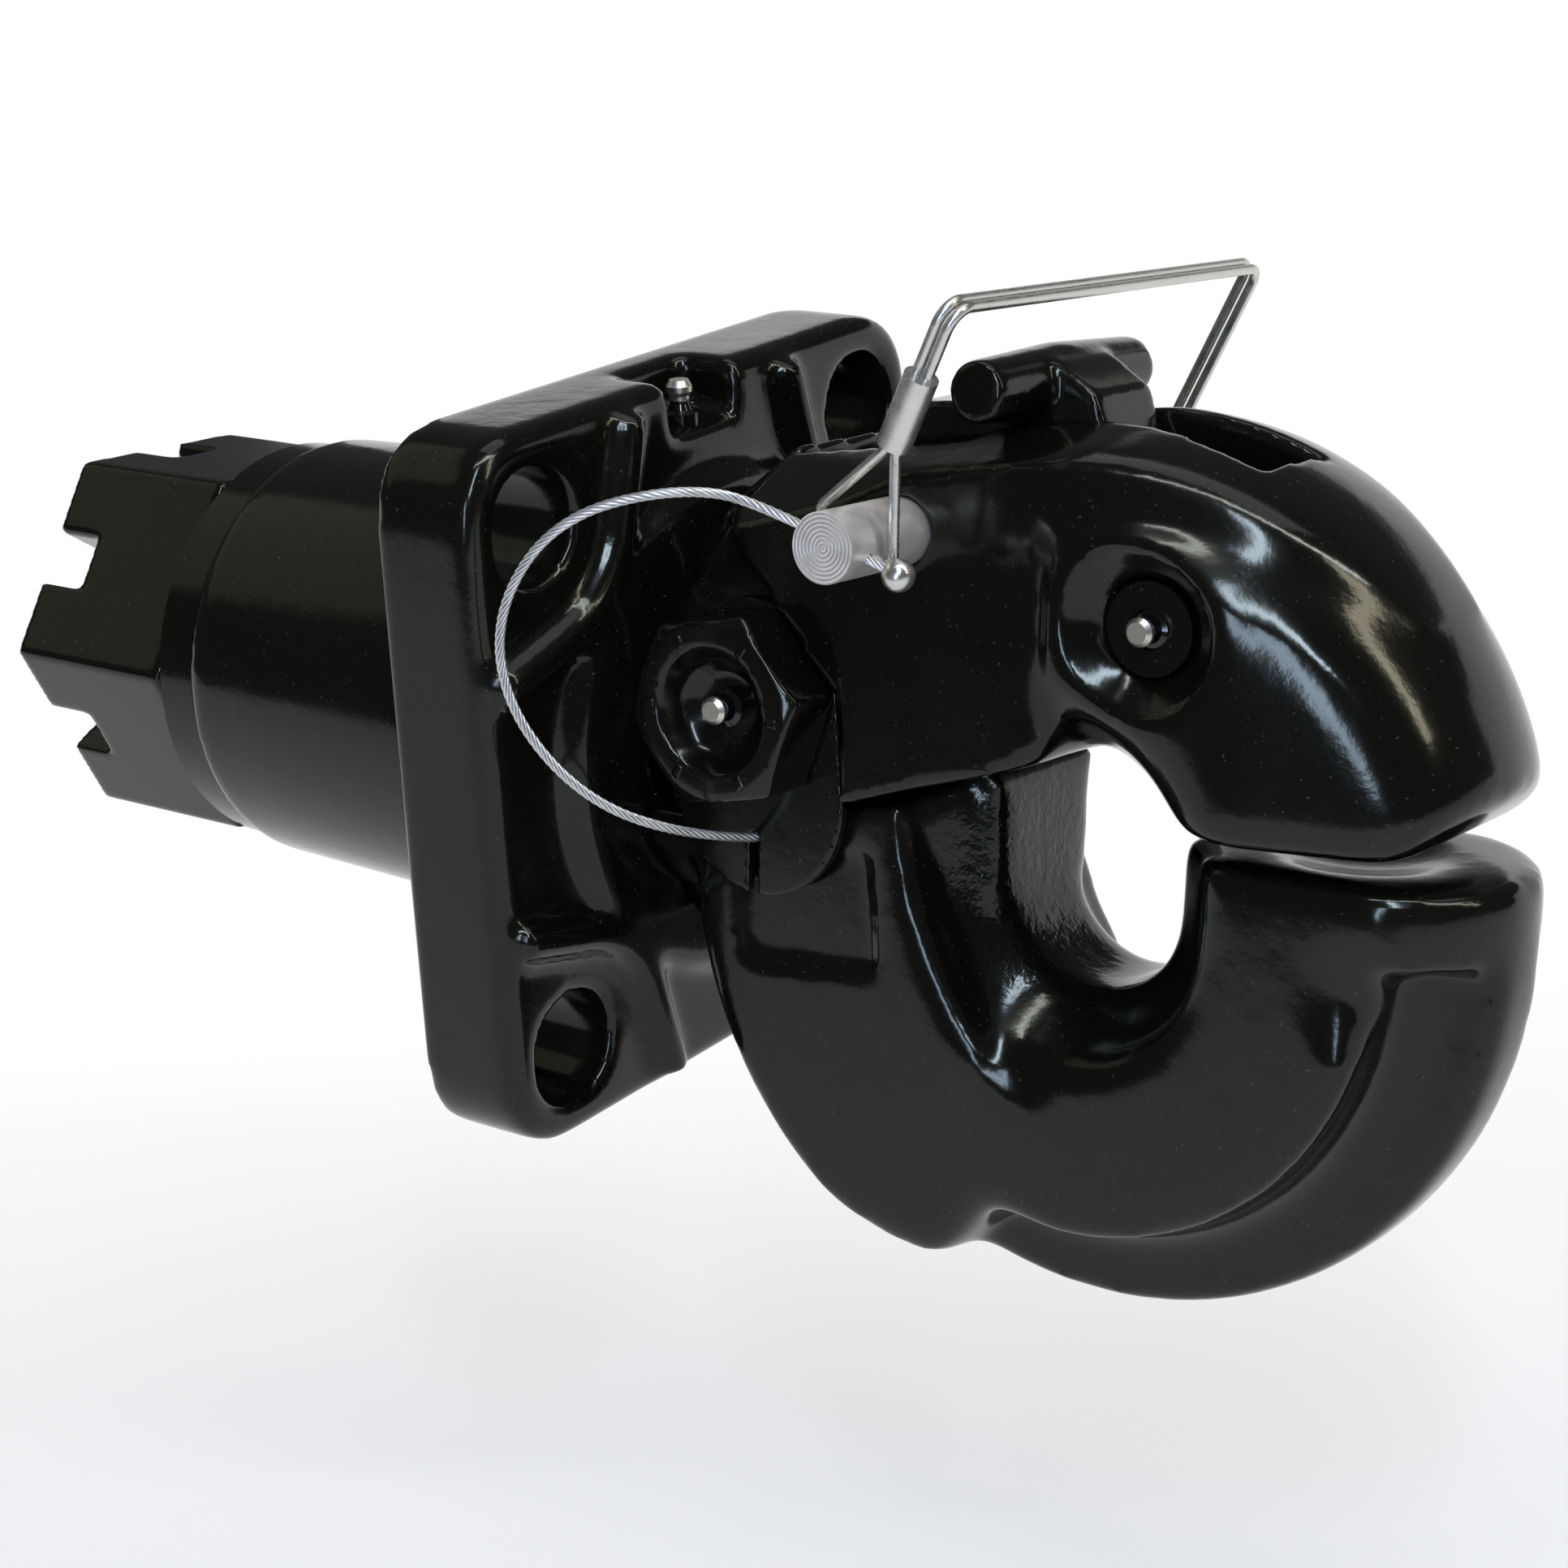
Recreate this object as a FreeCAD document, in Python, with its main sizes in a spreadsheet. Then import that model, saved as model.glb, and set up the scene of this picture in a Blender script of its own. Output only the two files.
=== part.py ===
import FreeCAD, Part
import math
import os
import Sketcher
from FreeCAD import Vector as V

doc = FreeCAD.newDocument("pintle_hitch")
sheet = doc.addObject("Spreadsheet::Sheet", "dims")

DIMS = {
    # swivel position of the hook against the plate, degrees about the shank
    "swivel_angle": -6.5,
    # mounting plate and sleeve
    "plate_side": 180.0,
    "plate_thick": 30.0,
    "plate_corner_r": 20.0,
    "plate_edge_r": 4.0,
    "bolt_edge": 23.325,
    "bolt_hole_r": 14.3,
    "arc_rib_height": 6.0,
    "arc_rib_width": 9.0,
    "arc_rib_r": 33.0,
    "arc_rib_edge": 20.0,
    "arc_rib_margin": 3.5,
    "boss_r": 62.0,
    "boss_height": 6.0,
    "boss_base_r": 68.0,
    "sleeve_r": 58.0,
    "sleeve_root_r": 61.0,
    "sleeve_length": 106.0,
    "notch_half_width": 13.0,
    "notch_depth": 13.0,
    "notch_back": 13.0,
    "notch_corner": 3.0,
    "notch_slope": 4.0,
    "fitting_x": 22.0,
    "fitting_r": 4.6,
    "fitting_height": 8.5,
    "plate_fitting_height": 11.5,
    "fitting_seat": 1.2,
    # shank, washer and nut
    "shank_r": 36.0,
    "thread_r": 31.75,
    "swivel_clearance": 0.06,
    "face_gap": 0.3,
    "fit_gap": 0.05,
    "press_gap": 0.02,
    "washer_thick": 11.8,
    "washer_r": 55.5,
    "nut_flats": 98.4,
    "nut_length": 56.4,
    "nut_slot_width": 15.0,
    "nut_slot_depth": 16.0,
    "nut_turn": 2.2,
    "thread_gap": 0.1,
    "cotter_r": 5.0,
    # hook
    "jaw_x": 150.5,
    "jaw_z": -22.0,
    "jaw_r": 101.0,
    "throat_r": 22.5,
    "wall_half": 15.0,
    "jaw_half": 33.0,
    "chamfer_r": 38.0,
    "crown_rise": 23.0,
    "hollow_depth": 8.0,
    "lip_r": 5.0,
    "lip_start": 75.0,
    "lip_end": 88.0,
    "rib_half": 10.0,
    "horn_top": -3.0,
    "cheek_half": 39.0,
    "cheek_edge_r": 4.0,
    "ramp_length": 26.0,
    "collar_r": 45.0,
    "lug_half": 21.9,
    "lug_pin_gap": 0.2944,
    "lug_edge_r": 5.0,
    "panel_depth": 1.6,
    "panel_long": 41.0,
    "panel_high": 31.0,
    "panel_corner_r": 5.0,
    "panel_tilt": -6.0,
    "tab_room": 0.2,
    "ear_room": 0.9,
    # pivot
    "pivot_x": 71.0,
    "pivot_z": 18.0,
    "pivot_r": 14.2875,
    "pivot_clearance": 0.05,
    "head_flats": 42.86,
    "head_height": 17.3,
    "head_turn": 11.5,
    "pivot_nut_height": 20.0,
    "tab_thick": 3.0,
    "tab_r": 24.5,
    "tab_drop": 23.0,
    "slit_width": 2.6,
    # latch
    "ear_r": 32.5,
    "ear_half": 40.0,
    "ear_pad_half": 46.0,
    "ear_side_gap": 0.4,
    "waist_half": 41.0,
    "claw_x": 150.5,
    "claw_z": -10.0,
    "claw_r": 100.5,
    "claw_inner_r": 26.0,
    "claw_half": 43.5,
    "claw_side_r": 80.0,
    "claw_floor": 2.0,
    "ridge_r": 93.0,
    "ridge_bend_run": 52.0,
    "ridge_bend_half": 30.0,
    "ridge_run": 98.0,
    "ridge_end_half": 3.0,
    "claw_taper": 18.0,
    "claw_taper_from": 44.5,
    "claw_taper_to": 109.5,
    "slot_half": 13.6,
    "recess_r": 20.0,
    "recess_floor_r": 12.4,
    "recess_depth": 7.0,
    "recess_groove": 1.6,
    # lock lever
    "lever_x": 174.0,
    "lever_z": 48.0,
    "lever_pin_r": 10.7,
    "lever_pin_near": 37.0,
    "lever_pin_far": 39.5,
    "clip_groove_r": 9.6,
    "clip_r": 12.0,
    "clip_thick": 1.5,
    "spring_wire_r": 1.1,
    "spring_pitch": 2.6,
    "spring_room": 0.5,
    "lever_half": 13.0,
    "hub_r": 17.0,
    "tbar_x": 125.0,
    "tbar_z": 95.0,
    "tbar_half": 34.5,
    "tbar_mid_r": 8.8,
    "tbar_end_r": 7.4,
    # lock pin, bail and tether
    "lockpin_x": 109.5,
    "lockpin_z": 62.7,
    "lockpin_r": 8.2,
    "lockpin_near": 70.0,
    "lockpin_far": 79.0,
    "wire_r": 1.25,
    "bail_lean": 62.6,
    "bail_rise": 62.0,
    "cable_r": 1.2,
    "stop_r": 3.8,
    "bail_y": -58.0,
    "bail_far_y": 71.0,
    "bail_far_spread": 3.0,
    "bail_corner": 12.2,
    "strand_offset": 1.45,
    "ferrule_r": 4.0,
    "cable_hole_y": -63.0,
}

for row, (alias, value) in enumerate(DIMS.items(), start=1):
    sheet.set("A%d" % row, alias)
    sheet.set("B%d" % row, "%.6g" % value)
    sheet.setAlias("B%d" % row, alias)
doc.recompute()


class Sizes:
    """Driving sizes, read back from the spreadsheet by name."""

    def __getattr__(self, alias):
        return float(sheet.get(alias))


d = Sizes()
X_AXIS = V(1, 0, 0)
Y_AXIS = V(0, 1, 0)
Z_AXIS = V(0, 0, 1)
HOOK_TURN = FreeCAD.Placement(V(0, 0, 0), FreeCAD.Rotation(X_AXIS, d.swivel_angle))
NODES = []


def node(name, shape, turned=True):
    """Add a finished solid to the document as the named piece."""
    part = doc.addObject("Part::Feature", name)
    part.Label = name
    part.Shape = shape
    if turned:
        part.Placement = HOOK_TURN.multiply(shape.Placement)
    NODES.append(part)
    return part


def outline(start, *steps):
    """Closed face in the XZ plane: each step is a point, or a mid and end point of an arc."""
    here = V(start[0], 0, start[1])
    first = here
    edges = []
    for step in steps:
        if len(step) == 2 and not isinstance(step[0], tuple):
            end = V(step[0], 0, step[1])
            edges.append(Part.makeLine(here, end))
        else:
            middle = V(step[0][0], 0, step[0][1])
            end = V(step[1][0], 0, step[1][1])
            edges.append(Part.Arc(here, middle, end).toShape())
        here = end
    if here.distanceToPoint(first) > 1e-6:
        edges.append(Part.makeLine(here, first))
    return Part.Face(Part.Wire(edges))


def prism(face, low, high):
    """Extrude an XZ face from Y low to Y high."""
    moved = face.copy()
    moved.translate(V(0, low, 0))
    return moved.extrude(V(0, high - low, 0))


def both_sides(face, low, high):
    """The same slab on the near and the far side."""
    return prism(face, low, high).fuse(prism(face, -high, -low))


def y_cylinder(radius, x, z, low, high):
    return Part.makeCylinder(radius, high - low, V(x, low, z), Y_AXIS)


def x_cylinder(radius, low, high):
    return Part.makeCylinder(radius, high - low, V(low, 0, 0), X_AXIS)


def polar(centre, radius, degrees):
    angle = math.radians(degrees)
    return (centre[0] + radius * math.cos(angle), centre[1] + radius * math.sin(angle))


def hexagon(flats, turn, axis_point, axis, length):
    """Hex prism with a vertex at the given turn, along the given axis."""
    corner = flats / math.sqrt(3)
    points = []
    for k in range(7):
        angle = math.radians(turn + 60 * k)
        points.append(V(corner * math.cos(angle), corner * math.sin(angle), 0))
    face = Part.Face(Part.makePolygon(points))
    solid = face.extrude(V(0, 0, length))
    solid.Placement = FreeCAD.Placement(axis_point, axis)
    return solid


def turned_profile(points, x, z, y):
    """Revolve (radius, height) points about -Y: heights grow towards the viewer's side."""
    edge_points = [V(x + r, y - h, z) for r, h in points]
    edge_points.append(edge_points[0])
    face = Part.Face(Part.makePolygon(edge_points))
    return face.revolve(V(x, 0, z), Y_AXIS, 360)


def round_path(points, bends=None):
    """Wire of straight runs joined by tangent arcs, of the given radii or as wide as the runs allow."""
    edges = []
    here = points[0]
    radii = []
    for number, (before, corner, after) in enumerate(zip(points, points[1:], points[2:])):
        run_in = before - corner
        run_out = after - corner
        half = run_in.getAngle(run_out) / 2
        reach = 0.45 * min(run_in.Length, run_out.Length)
        if bends:
            reach = bends[number] / math.tan(half)
        radii.append(reach * math.tan(half))
        start = corner + run_in.normalize() * reach
        end = corner + run_out.normalize() * reach
        bisector = (run_in + run_out).normalize()
        centre = corner + bisector * (reach / math.cos(half))
        middle = centre - bisector * radii[-1]
        if here.distanceToPoint(start) > 1e-4:
            edges.append(Part.makeLine(here, start))
        edges.append(Part.Arc(start, middle, end).toShape())
        here = end
    edges.append(Part.makeLine(here, points[-1]))
    return Part.Wire(edges), radii


def tube(points, radius, bends=None):
    """Round bar along a path of runs and arcs."""
    path, radii = round_path(points, bends)
    ring = Part.Wire(Part.makeCircle(radius, points[0], points[1] - points[0]))
    return path.makePipeShell([ring], True, False), path.Length, radii


def body(name):
    made = doc.addObject("PartDesign::Body", name)
    made.Label = name
    made.Placement = HOOK_TURN
    NODES.append(made)
    return made


def origin_plane(of_body, role):
    for feature in of_body.Origin.OriginFeatures:
        if feature.Role == role:
            return feature
    raise ValueError(role)


def sketch_on(of_body, name, role, offset):
    """Sketch on an origin plane of the body, moved along the plane's normal by an expression."""
    made = of_body.newObject("Sketcher::SketchObject", name)
    made.AttachmentSupport = (origin_plane(of_body, role), [""])
    made.MapMode = "FlatFace"
    made.setExpression(".AttachmentOffset.Base.z", offset)
    return made


def circle(sketch, radius, x="0", y="0"):
    """Circle with its radius and its centre bound to the sheet."""
    index = sketch.addGeometry(Part.Circle(V(1, 1, 0), Z_AXIS, 5), False)
    for kind, tail, expression in (("Radius", (5,), radius), ("DistanceX", None, x), ("DistanceY", None, y)):
        if tail:
            number = sketch.addConstraint(Sketcher.Constraint(kind, index, 5))
        else:
            number = sketch.addConstraint(Sketcher.Constraint(kind, -1, 1, index, 3, 1))
        sketch.setExpression("Constraints[%d]" % number, expression)
    return index


def regular_hex(sketch, flats, turn):
    """Hexagon about the origin: six lines tied to a construction circle."""
    corner = 20.0
    corners = [V(corner * math.cos(math.radians(60 * k + 7)), corner * math.sin(math.radians(60 * k + 7)), 0)
               for k in range(6)]
    lines = []
    for k in range(6):
        lines.append(sketch.addGeometry(Part.LineSegment(corners[k], corners[(k + 1) % 6]), False))
    guide = sketch.addGeometry(Part.Circle(V(0, 0, 0), Z_AXIS, corner), True)
    sketch.addConstraint(Sketcher.Constraint("Coincident", guide, 3, -1, 1))
    for k in range(6):
        sketch.addConstraint(Sketcher.Constraint("Coincident", lines[k], 2, lines[(k + 1) % 6], 1))
        sketch.addConstraint(Sketcher.Constraint("PointOnObject", lines[k], 1, guide))
    for k in range(1, 6):
        sketch.addConstraint(Sketcher.Constraint("Equal", lines[0], lines[k]))
    size = sketch.addConstraint(Sketcher.Constraint("Radius", guide, corner))
    sketch.setExpression("Constraints[%d]" % size, "%s / sqrt(3)" % flats)
    angle = sketch.addConstraint(Sketcher.Constraint("Angle", -1, 1, lines[0], 1, math.radians(127)))
    sketch.setExpression("Constraints[%d]" % angle, "(120 + %s) * 1 deg" % turn)


def pad(of_body, sketch, name, length, reverse=False):
    made = of_body.newObject("PartDesign::Pad", name)
    made.Profile = sketch
    made.setExpression("Length", length)
    made.Reversed = reverse
    doc.recompute()
    return made


def pocket(of_body, sketch, name, length, reverse=False):
    made = of_body.newObject("PartDesign::Pocket", name)
    made.Profile = sketch
    made.setExpression("Length", length)
    made.Reversed = reverse
    doc.recompute()
    return made


# mounting plate with its sleeve
half = d.plate_side / 2
hole = half - d.bolt_edge
notch_floor = half - d.notch_depth
slab = Part.makeBox(d.plate_thick, d.plate_side, d.plate_side, V(0, -half, -half))
corner_edges = [e for e in slab.Edges if abs(e.tangentAt(0).x) > 0.9]
slab = slab.makeFillet(d.plate_corner_r, corner_edges)
front_edges = [e for e in slab.Edges if all(abs(v.X - d.plate_thick) < 1e-6 for v in e.Vertexes)]
slab = slab.makeFillet(d.plate_edge_r, front_edges)

rib_centre = half - d.arc_rib_edge


def rib_side(radius):
    """One side of an arc rib round a bolt hole, run on straight towards the plate's edges."""
    def at(degrees):
        y, z = polar((rib_centre, rib_centre), radius, degrees)
        return V(d.plate_thick, y, z)

    start = at(195)
    end = at(255)
    up = V(0, math.sin(math.radians(195)), -math.cos(math.radians(195))) * half
    out = V(0, -math.sin(math.radians(255)), math.cos(math.radians(255))) * half
    return start + up, start, at(225), end, end + out


inner_side = rib_side(d.arc_rib_r - d.arc_rib_width / 2)
outer_side = rib_side(d.arc_rib_r + d.arc_rib_width / 2)
rib_edges = []
for far_up, start, middle, end, far_out in (inner_side, outer_side):
    rib_edges.append(Part.makeLine(far_up, start))
    rib_edges.append(Part.Arc(start, middle, end).toShape())
    rib_edges.append(Part.makeLine(end, far_out))
for stop in (0, -1):
    rib_edges.append(Part.makeLine(inner_side[stop], outer_side[stop]))
arc_rib = Part.Face(Part.Wire(Part.__sortEdges__(rib_edges)))
arc_rib.translate(V(-d.arc_rib_height, 0, 0))
arc_rib = arc_rib.extrude(V(2 * d.arc_rib_height, 0, 0))
rib_top = d.plate_thick + d.arc_rib_height
rib_top_edges = [e for e in arc_rib.Edges if all(abs(v.X - rib_top) < 1e-6 for v in e.Vertexes)
                 and e.Length > d.arc_rib_width + 0.01]
arc_rib = arc_rib.makeFillet(d.arc_rib_width / 3, rib_top_edges)
rib_limit = half - d.arc_rib_margin
rib_field = Part.makeBox(2 * rib_top, 2 * rib_limit, 2 * rib_limit, V(0, -rib_limit, -rib_limit))
arc_rib = arc_rib.common(rib_field)
boss_front = d.plate_thick + d.boss_height
boss = Part.makeCone(d.boss_base_r, d.boss_r, d.boss_height, V(d.plate_thick, 0, 0), X_AXIS)
sleeve = Part.makeCone(d.sleeve_root_r, d.sleeve_r, d.sleeve_length, V(0, 0, 0), V(-1, 0, 0))
plate = slab.fuse([boss, sleeve])
for turn in range(4):
    plate = plate.fuse(arc_rib.rotated(V(0, 0, 0), X_AXIS, 90 * turn))
notch_face = outline(
    (d.notch_back, half + d.notch_depth),
    (d.notch_back, notch_floor + d.notch_corner),
    (d.notch_back + d.notch_corner, notch_floor),
    (2 * d.plate_thick, notch_floor - d.notch_slope),
    (2 * d.plate_thick, half + d.notch_depth),
)
plate = plate.cut(prism(notch_face, -d.notch_half_width, d.notch_half_width))
fitting_floor = notch_floor - d.fitting_seat
bores = [Part.makeCylinder(d.fitting_r + d.fit_gap, d.plate_side, V(d.fitting_x, 0, fitting_floor), Z_AXIS)]
bores += [x_cylinder(d.shank_r + d.swivel_clearance, -d.sleeve_length - 1, boss_front + 1)]
for y in (-hole, hole):
    for z in (-hole, hole):
        bores.append(Part.makeCylinder(d.bolt_hole_r, 3 * d.plate_thick, V(-d.plate_thick, y, z), X_AXIS))
plate = plate.cut(Part.makeCompound(bores)).removeSplitter()
node("mounting_plate", plate, turned=False)

# shank, washer, nut and cotter
shoulder = boss_front + d.face_gap
washer_front = -d.sleeve_length - d.face_gap
nut_front = washer_front - d.washer_thick
nut_end = nut_front - d.nut_length
shank_end = nut_end + 3
cotter_x = nut_end + d.nut_slot_depth / 2
shank = x_cylinder(d.shank_r, washer_front, shoulder + 2)
shank = shank.fuse(x_cylinder(d.thread_r, shank_end, washer_front + 1))
cotter_up = V(0, math.cos(math.radians(90 + d.nut_turn)), math.sin(math.radians(90 + d.nut_turn)))
reach = d.nut_flats / 2
shank = shank.cut(Part.makeCylinder(d.cotter_r + 0.1, 200, V(cotter_x, 0, 0) - cotter_up * 100, cotter_up))

washer = body("thrust_washer")
washer_sketch = sketch_on(washer, "washer_outline", "YZ_Plane", "-dims.sleeve_length - dims.face_gap")
circle(washer_sketch, "dims.washer_r")
circle(washer_sketch, "dims.thread_r + dims.thread_gap")
pad(washer, washer_sketch, "washer_pad", "dims.washer_thick", True)

nut = body("castle_nut")
nut_sketch = sketch_on(nut, "nut_outline", "YZ_Plane",
                       "-dims.sleeve_length - dims.face_gap - dims.washer_thick")
regular_hex(nut_sketch, "dims.nut_flats", "dims.nut_turn")
circle(nut_sketch, "dims.thread_r + dims.thread_gap")
pad(nut, nut_sketch, "nut_pad", "dims.nut_length", True)
slot_sketch = sketch_on(nut, "nut_slot", "YZ_Plane",
                        "-dims.sleeve_length - dims.face_gap - dims.washer_thick - dims.nut_length")
slot_sketch.setExpression(".AttachmentOffset.Rotation.Angle", "dims.nut_turn * 1 deg")
w = d.nut_slot_width / 2
slot_low = d.thread_r / 2
slot_high = d.nut_flats
slot_corners = [V(-w, slot_low, 0), V(w, slot_low, 0), V(w, slot_high, 0), V(-w, slot_high, 0)]
sides = []
for k in range(4):
    side = Part.LineSegment(slot_corners[k], slot_corners[(k + 1) % 4])
    sides.append(slot_sketch.addGeometry(side, False))
for k in range(4):
    slot_sketch.addConstraint(Sketcher.Constraint("Coincident", sides[k], 2, sides[(k + 1) % 4], 1))
slot_sketch.addConstraint(Sketcher.Constraint("Horizontal", sides[2]))
for k in (1, 3):
    slot_sketch.addConstraint(Sketcher.Constraint("Vertical", sides[k]))
slot_sketch.addConstraint(Sketcher.Constraint("Symmetric", sides[0], 1, sides[0], 2, -2))
wide = slot_sketch.addConstraint(Sketcher.Constraint("DistanceX", sides[0], 1, sides[0], 2, 2 * w))
slot_sketch.setExpression("Constraints[%d]" % wide, "dims.nut_slot_width")
low = slot_sketch.addConstraint(Sketcher.Constraint("DistanceY", -1, 1, sides[0], 1, slot_low))
slot_sketch.setExpression("Constraints[%d]" % low, "dims.thread_r / 2")
high = slot_sketch.addConstraint(Sketcher.Constraint("DistanceY", -1, 1, sides[2], 1, slot_high))
slot_sketch.setExpression("Constraints[%d]" % high, "dims.nut_flats")
nut_slot = pocket(nut, slot_sketch, "nut_slot_cut", "dims.nut_slot_depth", True)
nut_slots = nut.newObject("PartDesign::PolarPattern", "nut_slots")
nut_slots.Originals = [nut_slot]
nut_slots.Axis = (origin_plane(nut, "X_Axis"), [""])
nut_slots.Angle = 360
nut_slots.Occurrences = 6
nut.Tip = nut_slots
doc.recompute()

cotter_low = V(cotter_x, 0, 0) - cotter_up * (reach - 8)
cotter = Part.makeCylinder(d.cotter_r, 2 * reach - 22, cotter_low, cotter_up)
eye = Part.makeTorus(d.cotter_r - 0.6, 2.2, cotter_low - cotter_up * (d.cotter_r - 1), X_AXIS)
cotter = cotter.fuse(eye).removeSplitter()
node("cotter_pin", cotter)

# hook: jaw turned about the throat, cheek, lug, collar and shank in one forging
jaw = (d.jaw_x, d.jaw_z)
pivot = (d.pivot_x, d.pivot_z)
lockpin = (d.lockpin_x, d.lockpin_z)
lug_r = math.dist(pivot, lockpin) - d.lockpin_r - d.lug_pin_gap


def jaw_face(points_out):
    """Half section in (radius, width), mirrored, standing on the horizontal plane of the throat's centre."""
    edges = []
    lower = [(d.throat_r, 0), (d.throat_r, d.wall_half), (d.chamfer_r, d.jaw_half)]
    path = [V(jaw[0] + r, y, jaw[1]) for r, y in lower]
    for a, b in zip(path, path[1:]):
        edges.append(Part.makeLine(a, b))
    here = path[-1]
    for step in points_out:
        if len(step) == 2:
            end = V(jaw[0] + step[0], step[1], jaw[1])
            edges.append(Part.makeLine(here, end))
        else:
            end = V(jaw[0] + step[2], step[3], jaw[1])
            edges.append(Part.Arc(here, V(jaw[0] + step[0], step[1], jaw[1]), end).toShape())
        here = end
    half_wire = Part.Wire(edges)
    other = half_wire.mirror(V(0, 0, 0), Y_AXIS)
    return Part.Face(Part.Wire(Part.__sortEdges__(half_wire.Edges + other.Edges)))


jaw_side_r = d.jaw_r - d.crown_rise
crown_r = (d.jaw_half ** 2 + d.crown_rise ** 2) / (2 * d.crown_rise)
crown_x = d.jaw_r - crown_r
crown_mid = (crown_x + crown_r * math.cos(0.55), crown_r * math.sin(0.55))
crown = jaw_face([(jaw_side_r, d.jaw_half), (crown_mid[0], crown_mid[1], d.jaw_r, 0)])
hollow_mid = (crown_mid[0] - d.hollow_depth * 0.7, crown_mid[1] - d.hollow_depth * 0.7)
hollow = jaw_face([
    (jaw_side_r, d.jaw_half),
    (jaw_side_r + 1.5, d.jaw_half - 2.5),
    (hollow_mid[0] - 4, hollow_mid[1] - 1, d.jaw_r - 2, d.rib_half + 2),
    (d.jaw_r, d.rib_half - 1),
    (d.jaw_r, 0),
])
horn = crown.extrude(V(0, 0, d.horn_top - d.jaw_z))
lower_jaw = hollow.revolve(V(jaw[0], 0, jaw[1]), Y_AXIS, 180)

cheek_start = polar(jaw, d.jaw_r, 180)
cheek_mid = polar(jaw, d.jaw_r, 218)
cheek_end = polar(jaw, d.jaw_r, 252)
cheek_corner = (jaw[0] + 1, jaw[1] - 53)
cheek_face = outline(
    cheek_start,
    (cheek_mid, cheek_end),
    cheek_corner,
    ((jaw[0] - 27, jaw[1] - 19), (jaw[0] - 39, jaw[1] + 20)),
    (97, -5),
    (60, 0),
    (cheek_start[0], 10),
)
cheek = prism(cheek_face, -d.cheek_half, d.cheek_half)
cheek_edges = [e for e in cheek.Edges if abs(abs(e.CenterOfMass.y) - d.cheek_half) < 0.01
               and isinstance(e.Curve, Part.Circle) and abs(e.Curve.Radius - d.jaw_r) < 0.01]
cheek = cheek.makeFillet(d.cheek_edge_r, cheek_edges)
ramp_from = V(cheek_end[0], 0, cheek_end[1])
ramp_to = V(cheek_corner[0], 0, cheek_corner[1])
ramp_way = (ramp_to - ramp_from).normalize()
ramp_back = V(-ramp_way.z, 0, ramp_way.x)
ramp_step = d.cheek_half - d.jaw_half
ramp_points = [ramp_from - ramp_way * 30 + ramp_back * a + V(0, y, 0) for a, y in (
    (-8, d.jaw_half - ramp_step * 8 / d.ramp_length),
    (-8, d.cheek_half + 4 * ramp_step),
    (5 * d.ramp_length, d.cheek_half + 4 * ramp_step),
    (-8, d.jaw_half - ramp_step * 8 / d.ramp_length))]
ramp = Part.Face(Part.makePolygon(ramp_points)).extrude(ramp_way * 150)
cheek = cheek.cut(ramp.fuse(ramp.mirror(V(0, 0, 0), Y_AXIS)))

lug_top = polar(pivot, lug_r, 94)
lug_mid = polar(pivot, lug_r, 50)
lug_front = polar(pivot, lug_r, 0)
wall_x = jaw[0] - d.throat_r
lug_face = outline(
    (shoulder, -d.collar_r),
    (shoulder, 49),
    polar(pivot, 0.975 * lug_r, 119.2),
    polar(pivot, 1.142 * lug_r, 96.5),
    polar(pivot, 1.144 * lug_r, 94.4),
    lug_top,
    (lug_mid, lug_front),
    (wall_x - 4, 5),
    (wall_x, 2),
    (wall_x, jaw[1]),
    (wall_x, jaw[1] - 5),
    (70, -60),
)
lug = prism(lug_face, -d.lug_half, d.lug_half)
lug_edges = [e for e in lug.Edges if abs(abs(e.CenterOfMass.y) - d.lug_half) < 0.01
             and e.CenterOfMass.z > 50 and e.CenterOfMass.x < 60]
lug = lug.makeFillet(d.lug_edge_r, lug_edges)

throat_wall = jaw_face([(jaw_side_r, d.jaw_half), (jaw_side_r, 0)])
throat_wall = throat_wall.rotated(V(jaw[0], 0, jaw[1]), Y_AXIS, 180)
throat_wall = throat_wall.extrude(V(0, 0, 24))
collar = x_cylinder(d.collar_r, shoulder, cheek_start[0] + 8)
forging = horn.fuse([lower_jaw, cheek, lug, throat_wall, collar, shank])

ear_space = y_cylinder(d.ear_r + d.ear_room, pivot[0], pivot[1], d.lug_half, 2 * d.cheek_half)
ear_space = ear_space.fuse(ear_space.mirror(V(0, 0, 0), Y_AXIS))
ear_slot = Part.makeBox(30, 60, 66, V(shoulder - 5, d.lug_half, -14))
ear_slot_far = Part.makeBox(30, 60, 66, V(shoulder - 5, -d.lug_half - 60, -14))
tab_space = both_sides(outline((shoulder, -60), (pivot[0] - 6, -60), (pivot[0] - 6, 0), (shoulder, 0)),
                       d.cheek_half + d.tab_room, 2 * d.cheek_half)
latch_floor = outline((60, 120), (60, -5.2), (97, -5.2), (152, 12.5), (200, 12.5), (200, 120))
latch_space = both_sides(latch_floor, d.lug_half, 90)
above = outline((wall_x, 60), (wall_x, jaw[1]), (jaw[0] + d.throat_r, jaw[1]), (jaw[0] + d.throat_r, 60))
mouth = prism(above, -60, 60)
past_wall = lug_front[0] + 2 * d.throat_r
lug_over = outline(lug_front, (past_wall, lug_front[1]), (past_wall, 2), (wall_x, 2), (wall_x - 4, 5))
bolt_way = y_cylinder(d.pivot_r + d.pivot_clearance, pivot[0], pivot[1], -60, 60)
dish_centre = V(jaw[0] + 60, 0, d.horn_top + 56)
dish = Part.makeSphere(60, dish_centre)
panel = Part.makeBox(d.panel_long, 2 * d.panel_depth, d.panel_high,
                     V(64, -d.cheek_half - d.panel_depth, -47))
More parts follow.
